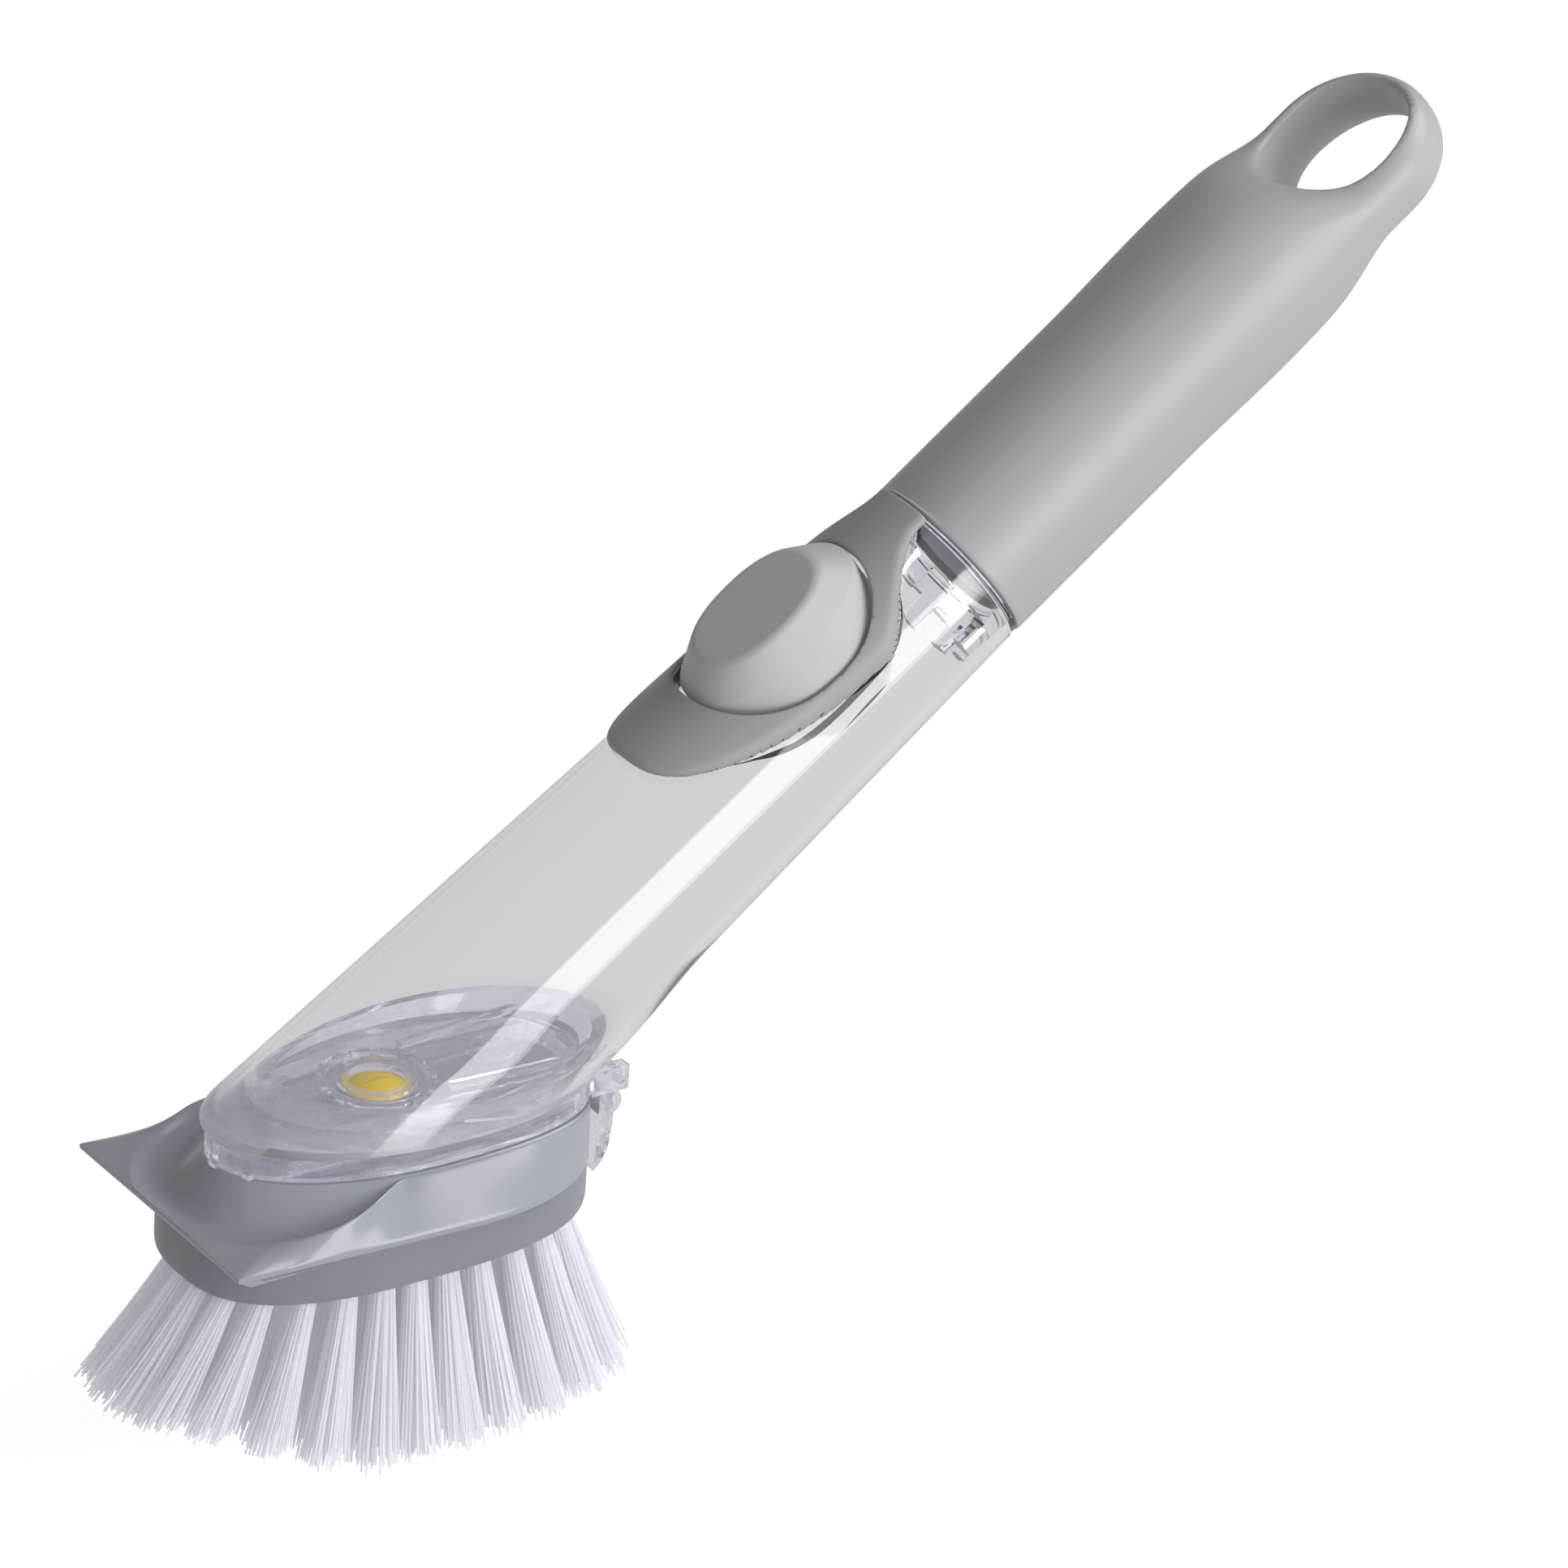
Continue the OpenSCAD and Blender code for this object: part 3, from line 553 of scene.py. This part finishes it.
# Tank: a tilted cone whose lower rear wall flares out into the foot
TANK_R = 15.9
TANK_TAPER = 0.0345
TANK_TILT = math.radians(1.25)
TANK_WALL = 1.8
TANK_LOW = -2.0
TANK_TOP = -1.1
SEAT_RISE = 0.45
FLARE, FLARE_TOP, FLARE_RUN = 2.4, 17, 15
# Half the sizes of the pump's cup, and the room round it
CUP_HALF = (18.4, 14.4)
CUP_ROOM = 0.65


def tank_spot(zl, r, turn):
    """A point of the tank, zl along its own axis from the seam, in the foot plate's frame."""
    n = r * np.cos(turn) * math.cos(TANK_TILT) - zl * math.sin(TANK_TILT)
    s = zl * math.cos(TANK_TILT) + r * np.cos(turn) * math.sin(TANK_TILT) + SEAM
    return np.stack([s * ALONG.x + n * OUT.x, r * np.sin(turn), s * ALONG.z + n * OUT.z], -1)


def tank_field(s, n, y, g):
    """Distance outside a cone g larger than the tank, and the place along the tank's axis."""
    xl = n * math.cos(TANK_TILT) + (s - SEAM) * math.sin(TANK_TILT)
    zl = -n * math.sin(TANK_TILT) + (s - SEAM) * math.cos(TANK_TILT)
    return np.hypot(xl, y) - (TANK_R + g - zl * TANK_TAPER), zl


# Outline of the bezel: a lobe round the button that narrows into a neck, z along the axis from the
# button's middle, kept as a table of signed distances
LOBE_FRONT, LOBE_HALF, NECK_HALF, WAIST_FROM, NECK_END = -32.0, 15.3, 5.9, 8.5, 29.8
TABLE_STEP, TABLE_LOW, TABLE_SIDE = 0.3, -37.0, -21.0
TABLE_SHAPE = (260, 141)


def bezel_half(z):
    """Half the bezel's width: a rounded lobe, which flows into the neck past the waist."""
    front = np.abs((WAIST_FROM - z) / (WAIST_FROM - LOBE_FRONT))
    lobe = LOBE_HALF * np.clip(1 - front ** 2.7, 0, 1) ** (1 / 3.2)
    neck = mix(LOBE_HALF, NECK_HALF, 0.92 * smooth((z - WAIST_FROM) / 20.5)
               + 0.08 * smooth((z - WAIST_FROM) / (NECK_END - WAIST_FROM)))
    return np.where(z < WAIST_FROM, lobe, neck)


def bezel_polygon():
    """The outline, with its points closer together round the lobe's front."""
    z = LOBE_FRONT + (NECK_END + 3 - LOBE_FRONT) * (1 - np.cos(np.linspace(0, math.pi / 2, 150)))
    half = bezel_half(z)
    return np.concatenate([np.stack([z, half], 1), np.stack([z[::-1], -half[::-1]], 1)])


def outline_table(edge):
    """Signed distances from a closed outline, on the table's grid."""
    y = TABLE_SIDE + TABLE_STEP * np.arange(TABLE_SHAPE[1])
    a, b = edge, np.roll(edge, -1, axis=0)
    run = b - a
    size = (run ** 2).sum(1) + 1e-12
    table = np.empty(TABLE_SHAPE)
    for k, z in enumerate(TABLE_LOW + TABLE_STEP * np.arange(TABLE_SHAPE[0])):
        p = np.stack([np.full(TABLE_SHAPE[1], z), y], 1)
        rel = p[:, None, :] - a[None]
        t = np.clip((rel * run[None]).sum(2) / size[None], 0, 1)
        dist = np.sqrt(((rel - t[..., None] * run[None]) ** 2).sum(2)).min(1)
        level = a[None, :, 0] + (p[:, 1:] - a[None, :, 1]) * run[None, :, 0] / (run[None, :, 1] + 1e-12)
        crossed = ((a[None, :, 1] > p[:, 1:]) != (b[None, :, 1] > p[:, 1:])) & (p[:, :1] < level)
        table[k] = np.where(crossed.sum(1) % 2 == 1, -dist, dist)
    return table


BEZEL_TABLE = outline_table(bezel_polygon())


def bezel_gap(z, y):
    """Signed distance from the bezel's outline."""
    u = np.clip((z - TABLE_LOW) / TABLE_STEP, 0, TABLE_SHAPE[0] - 1.001)
    v = np.clip((y - TABLE_SIDE) / TABLE_STEP, 0, TABLE_SHAPE[1] - 1.001)
    i, j = u.astype(int), v.astype(int)
    fu, fv = u - i, v - j
    t = BEZEL_TABLE
    return mix(mix(t[i, j], t[i + 1, j], fu), mix(t[i, j + 1], t[i + 1, j + 1], fu), fv)


def cut_opening(wall):
    """Cuts the opening that the pump's cup sits in."""
    turn = full_turn(128)
    r = oval_reach(CUP_HALF[0] + CUP_ROOM, CUP_HALF[1] + CUP_ROOM, 2.4, turn)
    points, faces = loft([button_ring(r, turn, n) for n in (4.0, 26.0)])
    cutter = new_object("opening", new_mesh("opening", from_axis(points), faces))
    cut = wall.modifiers.new("opening", "BOOLEAN")
    cut.operation = "DIFFERENCE"
    cut.solver = "EXACT"
    cut.object = cutter
    mesh = baked(wall)
    wall.modifiers.remove(cut)
    wall.data = mesh
    bpy.data.objects.remove(cutter)
    mesh.set_sharp_from_angle(angle=math.radians(40))


def make_tank():
    turn = full_turn(224)
    share = np.linspace(0, 1, 190)[:, None]

    def wall(g):
        """The tank's surface grown by g, from the foot's level up to the seam."""
        along_z = ALONG.z * math.cos(TANK_TILT) - OUT.z * math.sin(TANK_TILT)
        out_z = ALONG.z * math.sin(TANK_TILT) + OUT.z * math.cos(TANK_TILT)
        base = TANK_LOW - SEAM * ALONG.z - (TANK_R + g) * out_z * np.cos(turn)
        start = base / (along_z - TANK_TAPER * out_z * np.cos(turn))
        zl = start + (TANK_TOP - start) * share
        return tank_spot(zl, TANK_R + g - zl * TANK_TAPER, turn), zl

    outer, zl = wall(0.0)
    inner, _ = wall(-TANK_WALL)
    # the seat under the bezel stands a little proud
    s = outer[..., 0] * ALONG.x + outer[..., 2] * ALONG.z
    n = outer[..., 0] * OUT.x + outer[..., 2] * OUT.z
    near = n > 2
    gap = bezel_gap((s - BUTTON_AT)[near], outer[..., 1][near])
    rise = np.zeros_like(s)
    rise[near] = SEAT_RISE * smooth((0.1 - gap) / 0.6)
    outer = tank_spot(zl, TANK_R + rise - zl * TANK_TAPER, turn)
    # flare of the rear wall round the foot
    for face in (outer, inner):
        d = np.arctan2(face[..., 1], face[..., 0] - FOOT_X)
        push = FLARE * smooth((FLARE_TOP - face[..., 2]) / FLARE_RUN) * smooth((np.cos(d) + 0.1) / 0.7)
        face[..., 0] += push * np.cos(d)
        face[..., 1] += push * np.sin(d) * 0.25
    points, faces = loft(list(outer) + list(inner[::-1]), closed=True)
    cut_opening(add_piece("tank_wall", from_foot(points), faces, CLEAR_TUBE, "tank", "tank_shell",
                          40))


# Bezel: a slab draped over the tank, with a rounded edge
BEZEL_RISE = 1.6
BEZEL_THICK = 1.15
BEZEL_HOLE = (17.9, 14.2)
BEZEL_CELL = 0.3


def bezel_field(p):
    s, n, y = p[:, 0], p[:, 1], p[:, 2]
    outer, zl = tank_field(s, n, y, BEZEL_RISE)
    side = bezel_gap(s - BUTTON_AT, y)
    body = join_max(outer, side - 0.4, 1.3)
    body = join_max(body, -(outer + BEZEL_THICK), 0.15)
    body = join_max(body, zl + 0.4, 0.5)
    hole = -oval_field(s - BUTTON_AT, y, *BEZEL_HOLE, 2.4)
    return join_max(body, hole, 0.5)


def make_bezel():
    low, high = (BUTTON_AT - 33.2, 4.0, -16.6), (SEAM + 0.6, 22.5, 16.6)
    points, faces = surface_nets(bezel_field, low, high, BEZEL_CELL)
    add_piece("bezel", from_axis(points), faces, BEZEL_GREY, "tank", "button_bezel")


# Button: tapering sides and a flat top with a rounded edge, then its hollow inside
BUTTON_TOP = 23.2
BUTTON_LOW = 11.2


def make_button():
    turn = full_turn(160)

    def ring(h, g=0.0, share=1.0):
        """The outline at height h, drawn in by g and shrunk to a share."""
        a = (mix(17.5, 12.2, max(0.0, (h - 18.4) / 4.8)) - g) * share
        b = (mix(13.8, 8.5, max(0.0, (h - 12) / 11.2)) - g) * share
        return button_ring(oval_reach(a, b, 2.3, turn), turn, h)

    rings = [ring(BUTTON_TOP, 0.9, share) for share in (0.1, 0.3, 0.5, 0.7, 0.85, 0.95)]
    rings += [ring(BUTTON_TOP - 0.8 * (1 - math.sin(a)), 0.9 * (1 - math.cos(a)))
              for a in np.linspace(math.pi / 2, 0, 8)]
    rings += [ring(h) for h in np.linspace(22.2, 18.9, 9)]
    rings += [ring(h) for h in (18.6, 18.4, 18.2, 17.8, 17, 15, 13, BUTTON_LOW)]
    rings += [ring(BUTTON_LOW, 1.5), ring(18.4, 1.5), ring(21.2, 1.7)]
    points, faces = loft(rings)
    add_piece("button", from_axis(points), faces, BUTTON_GREY, "button", "button_cap", 50)


def make_bellows():
    """The CAD's folded sleeve, copied with its doubled points merged."""
    node = nodes["pump_bellows"]
    bm = bmesh.new()
    bm.from_mesh(node.data)
    bm.transform(node.matrix_world)
    bmesh.ops.remove_doubles(bm, verts=bm.verts[:], dist=0.000001)
    mesh = bpy.data.meshes.new("bellows_sleeve")
    bm.to_mesh(mesh)
    bm.free()
    mesh.materials.append(PUMP_PALE)
    mesh.shade_smooth()
    mesh.set_sharp_from_angle(angle=math.radians(35))
    piece = new_object("bellows_sleeve", mesh)
    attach(piece, "tank")
    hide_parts("pump_bellows")
    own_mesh(piece)


# Frame: a bowl round the foot, a ridge that touches the lip's middle, and aprons out to the edge
LIP_X, LIP_HALF, SIDE_HALF = -53.2, 24.8, 24.0
REAR_REACH = 33.5
RIDGE_HALF = (44.6, 24.6)
FRAME_TOP = -7.3
FRAME_FLOOR = -16.4
POCKET_TOP = -9.4
SOCKET_R = 8.0
BOWL_RINGS, APRON_RINGS = 25, 18


def foot_reach(d, g=0.0):
    """How far the foot's outline, grown by g, reaches from its middle."""
    front = oval_reach(34.4 + g, 17.8 + g, 2.0, d)
    rear = oval_reach(33.9 + g, 17.8 + g, 2.8, d)
    return np.where(np.cos(d) < 0, front, rear)


def edge_height(x):
    return -13.2 - 3.0 * np.minimum(1.0, (x - LIP_X) / 66)


def frame_plan():
    """The frame's outline: the straight lip, both slanting sides and the round rear."""
    lip = [(LIP_X, y) for y in np.linspace(LIP_HALF, -LIP_HALF, 60, endpoint=False)]
    right = [(x, -mix(SIDE_HALF, LIP_HALF, (FOOT_X - x) / (FOOT_X - LIP_X)))
             for x in np.linspace(LIP_X, FOOT_X, 56, endpoint=False)]
    turn = np.linspace(-math.pi / 2, math.pi / 2, 90, endpoint=False)
    reach = oval_reach(REAR_REACH, SIDE_HALF, 2.3, turn)
    rear = [(FOOT_X + r * math.cos(t), r * math.sin(t)) for r, t in zip(reach, turn)]
    left = [(x, -y) for x, y in reversed(right[1:] + [(FOOT_X, -SIDE_HALF)])]
    return np.array(lip + right + rear + left)


def make_frame():
    plan = frame_plan()
    from_middle = plan - (FOOT_X, 0)
    d = np.arctan2(from_middle[:, 1], from_middle[:, 0])
    outer = np.hypot(from_middle[:, 0], from_middle[:, 1])
    inner = np.minimum(foot_reach(d, 0.3), outer - 0.2)
    edge = edge_height(plan[:, 0])
    ahead = -np.cos(d)
    front = smooth((ahead - 0.45) / 0.3)
    ridge = np.minimum(mix(inner + 0.6, oval_reach(*RIDGE_HALF, 2.8, d), front), outer - 0.15)
    ridge_z = -7.6 - 5.6 * smooth((ahead - 0.5) / 0.55)
    way = np.linspace(0, 1, BOWL_RINGS)[:, None]
    bowl = mix(FRAME_TOP, ridge_z, np.sin(way * math.pi / 2)) - 1.7 * front * np.sin(way * math.pi) ** 1.2
    apron = np.linspace(0, 1, APRON_RINGS)[1:, None]
    reach = np.concatenate([mix(inner, ridge, way), mix(ridge, outer, apron)])
    z = np.concatenate([bowl, mix(ridge_z, edge, apron)])
    for _ in range(3):
        for rows in (z, reach):
            rows[1:-1] = (rows[:-2] + 2 * rows[1:-1] + rows[2:]) / 4
    rings = list(np.stack([FOOT_X + reach * np.cos(d), reach * np.sin(d), z], -1))

    def drawn_in(share_x, share_y, z):
        """The outline at a height, shrunk towards the foot's middle."""
        return np.stack([FOOT_X + from_middle[:, 0] * share_x, plan[:, 1] * share_y, z + 0 * d], 1)

    # rounded edge, underside, pocket for the block's boss, and socket of the spigot
    rings[-1][:, :2] = (rings[-1][:, :2] - (FOOT_X, 0)) * 0.9985 + (FOOT_X, 0)
    rings += [drawn_in(share, share, np.maximum(edge - drop, FRAME_FLOOR + 0.05))
              for share, drop in ((1.0, 0.3), (1.0, 0.7), (0.996, 1.0), (0.985, 1.1))]
    rings += [drawn_in(np.where(plan[:, 0] < FOOT_X, 0.925, 0.975), 0.93, FRAME_FLOOR)]
    pocket = oval_reach(30.0, 15.0, 2.6, d)
    rings += [level_ring(pocket, d, POCKET_X, z) for z in (FRAME_FLOOR, POCKET_TOP)]
    rings += [level_ring(SOCKET_R, d, SPIGOT_X, z) for z in (POCKET_TOP, FRAME_TOP)]
    points, faces = loft(rings, closed=True)
    add_piece("frame_body", from_foot(points), faces, FRAME_GREY, "head", "scraper_frame", 38)


# Block: an upright rounded oval with a boss on top and the soap channel through it
BLOCK_HALF = (37.1, 21.1)
BLOCK_POWER = 2.66
BLOCK_LOW = 26.7
# How far its side is drawn in at each depth, from the top's rounded edge to the bottom's
BLOCK_SIDE = ((0.5, 16.5), (0.14, 16.6), (0.0, 16.85), (0.0, 18.5), (0.0, 21), (0.0, 23.6), (0.05, 24.4),
              (0.2, 25.1), (0.5, 25.7), (0.95, 26.2), (1.5, 26.5), (2.1, 26.65), (4, 26.68))


def make_block():
    turn = full_turn(200)

    def ring(a, b, power, middle, z):
        return level_ring(oval_reach(a, b, power, turn), turn, middle, z)

    rings = [ring(r, r, 2, SPIGOT_X, z) for r, z in ((3.6, -26.65), (3.6, -16), (7.6, -16), (7.6, -9.6))]
    rings += [ring(29.7, 14.7, 2.6, POCKET_X, z) for z in (-9.6, -16.5)]
    rings += [ring(BLOCK_HALF[0] - g, BLOCK_HALF[1] - g, BLOCK_POWER, BLOCK_X, -z) for g, z in BLOCK_SIDE]
    points, faces = loft(rings, closed=True)
    add_piece("block_body", from_foot(points), faces, BLOCK_GREY, "head", "bristle_block", 40)


make_grip()
make_tank()
make_bezel()
make_button()
make_bellows()
make_frame()
make_block()


# Bristles: tufts on rounded ovals, each leaning outwards from its root
OUTER_HALF = (34.6 - 2.2, 18.2 - 2.2)
INNER_HALF = (26.2, 9.8)
ROOT_DEPTH = 0.6
TIP_FALL = 59.5
GOLDEN_ANGLE = 2.39996
STRAND_POINTS = 6
STRAND_SIDES = 5


def tuft_row(a, b, count, turn):
    row = []
    for i in range(count):
        d = 2 * math.pi * (i + turn) / count
        q = math.atan2(math.sin(d) * b * 0.8, math.cos(d) * a * 0.62)
        r = oval_reach(a, b, BLOCK_POWER, q)
        row.append((r * math.cos(q), r * math.sin(q)))
    return row


def tuft_lean(x, y):
    """Where a tuft's middle ends, as a shift from its root: outwards, and shorter towards the front."""
    u = x / OUTER_HALF[0]
    fall = TIP_FALL - BLOCK_LOW + ROOT_DEPTH
    return Vector((12.8 * u - 1.6 * u * u, y * 0.24, -fall + 11.5 * smooth((-u - 0.15) / 0.85) + 0.9))


def tuft_roots(name, places):
    """One point for each tuft, with its lean as an attribute."""
    mesh = bpy.data.meshes.new(name)
    mesh.from_pydata([FOOT + Vector((BLOCK_X + x, y, ROOT_DEPTH - BLOCK_LOW)) * MM for x, y in places], [], [])
    lean = mesh.attributes.new("lean", "FLOAT_VECTOR", "POINT")
    for k, (x, y) in enumerate(places):
        lean.data[k].vector = tuft_lean(x, y) * MM
    return mesh


def make_tuft_tree():
    """Grows a spiral of strands from every root point, each bent outwards to its own trimmed length."""
    tree = bpy.data.node_groups.new("tufts_of_bristles", "GeometryNodeTree")
    for label, kind, value in (
            ("Geometry", "Geometry", None), ("Strands per Tuft", "Int", 90),
            ("Root Radius", "Float", 0.0018), ("Splay", "Float", 2.3), ("Strand Radius", "Float", 0.0002),
            ("Trim", "Float", 0.0016), ("Wander", "Float", 0.0007), ("Bow", "Float", 0.12),
            ("Seed", "Int", 5), ("Finish", "Material", None)):
        socket = tree.interface.new_socket(label, in_out="INPUT", socket_type="NodeSocket" + kind)
        if value is not None:
            socket.default_value = value
    tree.interface.new_socket("Geometry", in_out="OUTPUT", socket_type="NodeSocketGeometry")
    put = tree.nodes.new("NodeGroupInput").outputs
    place = tree.nodes.new("GeometryNodeInputPosition").outputs[0]

    def step(kind, inputs, **settings):
        return add_node(tree, kind, inputs, **settings).outputs[0]

    def times(*terms):
        return maths(tree, "MULTIPLY", *terms)

    def plus(*terms):
        return vectors(tree, "ADD", *terms)

    def keep(geometry, name, value, kind="FLOAT_VECTOR"):
        return step("GeometryNodeStoreNamedAttribute", {"Geometry": geometry, "Name": name, "Value": value},
                    data_type=kind, domain="POINT")

    def kept(name):
        return add_node(tree, "GeometryNodeInputNamedAttribute", {"Name": name},
                        data_type="FLOAT_VECTOR").outputs["Attribute"]

    def chance(low, high, salt):
        seed = maths(tree, "ADD", put["Seed"], float(salt))
        return add_node(tree, "FunctionNodeRandomValue", {"Seed": seed, "Min": low, "Max": high},
                        data_type="FLOAT").outputs["Value"]

    # a spiral of strand roots inside one tuft
    count = put["Strands per Tuft"]
    index = tree.nodes.new("GeometryNodeInputIndex").outputs[0]
    share = maths(tree, "DIVIDE", maths(tree, "ADD", index, 0.5), count)
    reach = times(maths(tree, "SQRT", share), put["Root Radius"])
    turn = times(index, GOLDEN_ANGLE)
    spot = step("ShaderNodeCombineXYZ", {
        "X": times(reach, maths(tree, "COSINE", turn)), "Y": times(reach, maths(tree, "SINE", turn))})
    spiral = step("GeometryNodePoints", {"Count": count, "Position": spot})

    # every tuft's strand roots, and where each strand ends
    tufts = step("GeometryNodeMeshToPoints", {"Mesh": put["Geometry"]})
    tufts = keep(tufts, "middle", place)
    roots = step("GeometryNodeInstanceOnPoints", {"Points": tufts, "Instance": spiral})
    roots = step("GeometryNodeRealizeInstances", {"Geometry": roots})
    roots = keep(roots, "root", place)
    side = vectors(tree, "SUBTRACT", place, kept("middle"))
    wander = step("ShaderNodeCombineXYZ", {
        "X": times(chance(-1.0, 1.0, 1), put["Wander"]),
        "Y": times(chance(-1.0, 1.0, 2), put["Wander"]),
        "Z": times(chance(0.0, 1.0, 3), put["Trim"])})
    middle_tip = plus(kept("middle"), kept("lean"))
    roots = keep(roots, "tip", plus(middle_tip, plus(scaled(tree, side, put["Splay"]), wander)))
    roots = keep(roots, "tone", chance(0.0, 1.0, 4), "FLOAT")

    # one bowed strand on each root
    line = step("GeometryNodeCurvePrimitiveLine", {"Start": (0, 0, 0), "End": (0, 0, 1)})
    line = step("GeometryNodeResampleCurve", {"Curve": line, "Count": STRAND_POINTS})
    strands = step("GeometryNodeInstanceOnPoints", {"Points": roots, "Instance": line})
    strands = step("GeometryNodeRealizeInstances", {"Geometry": strands})
    way = tree.nodes.new("GeometryNodeSplineParameter").outputs["Factor"]
    run = vectors(tree, "SUBTRACT", kept("tip"), kept("root"))
    arch = times(way, maths(tree, "SUBTRACT", 1.0, way))
    bow = scaled(tree, vectors(tree, "MULTIPLY", run, (-1.0, -1.0, 0.0)), times(arch, put["Bow"]))
    spot = plus(plus(kept("root"), scaled(tree, run, way)), bow)
    strands = step("GeometryNodeSetPosition", {"Geometry": strands, "Position": spot})
    section = step("GeometryNodeCurvePrimitiveCircle", {"Resolution": STRAND_SIDES})
    slimmer = maths(tree, "SUBTRACT", 1.0, times(way, 0.2))
    tubes = step("GeometryNodeCurveToMesh", {
        "Curve": strands, "Profile Curve": section, "Fill Caps": True,
        "Scale": times(slimmer, put["Strand Radius"])})
    tubes = step("GeometryNodeSetShadeSmooth", {0: tubes, "Shade Smooth": True})
    tubes = step("GeometryNodeRealizeInstances", {"Geometry": tubes})
    tubes = step("GeometryNodeSetMaterial", {"Geometry": tubes, "Material": put["Finish"]})
    add_node(tree, "NodeGroupOutput", {0: tubes})
    return tree


TUFT_TREE = make_tuft_tree()


def grow_tufts(name, places, node, seed):
    """Bristles of one row, baked to a plain mesh that stands for the row's CAD solid."""
    roots = new_object(name + "_roots", tuft_roots(name + "_roots", places))
    grower = roots.modifiers.new("bristles", "NODES")
    grower.node_group = TUFT_TREE
    sockets = {s.name: s.identifier for s in TUFT_TREE.interface.items_tree if s.in_out == "INPUT"}
    grower[sockets["Seed"]] = seed
    grower[sockets["Finish"]] = NYLON
    mesh = baked(roots)
    bpy.data.objects.remove(roots)
    piece = new_object(name, mesh)
    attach(piece, "head")
    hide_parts(node)


outer_row = tuft_row(*OUTER_HALF, 27, 0.0)
inner_row = tuft_row(*INNER_HALF, 19, 0.5)
inner_row += [(s * (7.5 + 3.3 * i), (2.6, -2.6)[i % 2]) for s in (-1, 1) for i in range(5)]
grow_tufts("bristles_outer", outer_row, "tufts_outer", 5)
grow_tufts("bristles_inner", inner_row, "tufts_inner", 11)


scene.cycles.max_bounces = 16
scene.cycles.diffuse_bounces = 8
scene.cycles.transmission_bounces = 14
scene.cycles.transparent_max_bounces = 24
scene.view_settings.view_transform = "Standard"
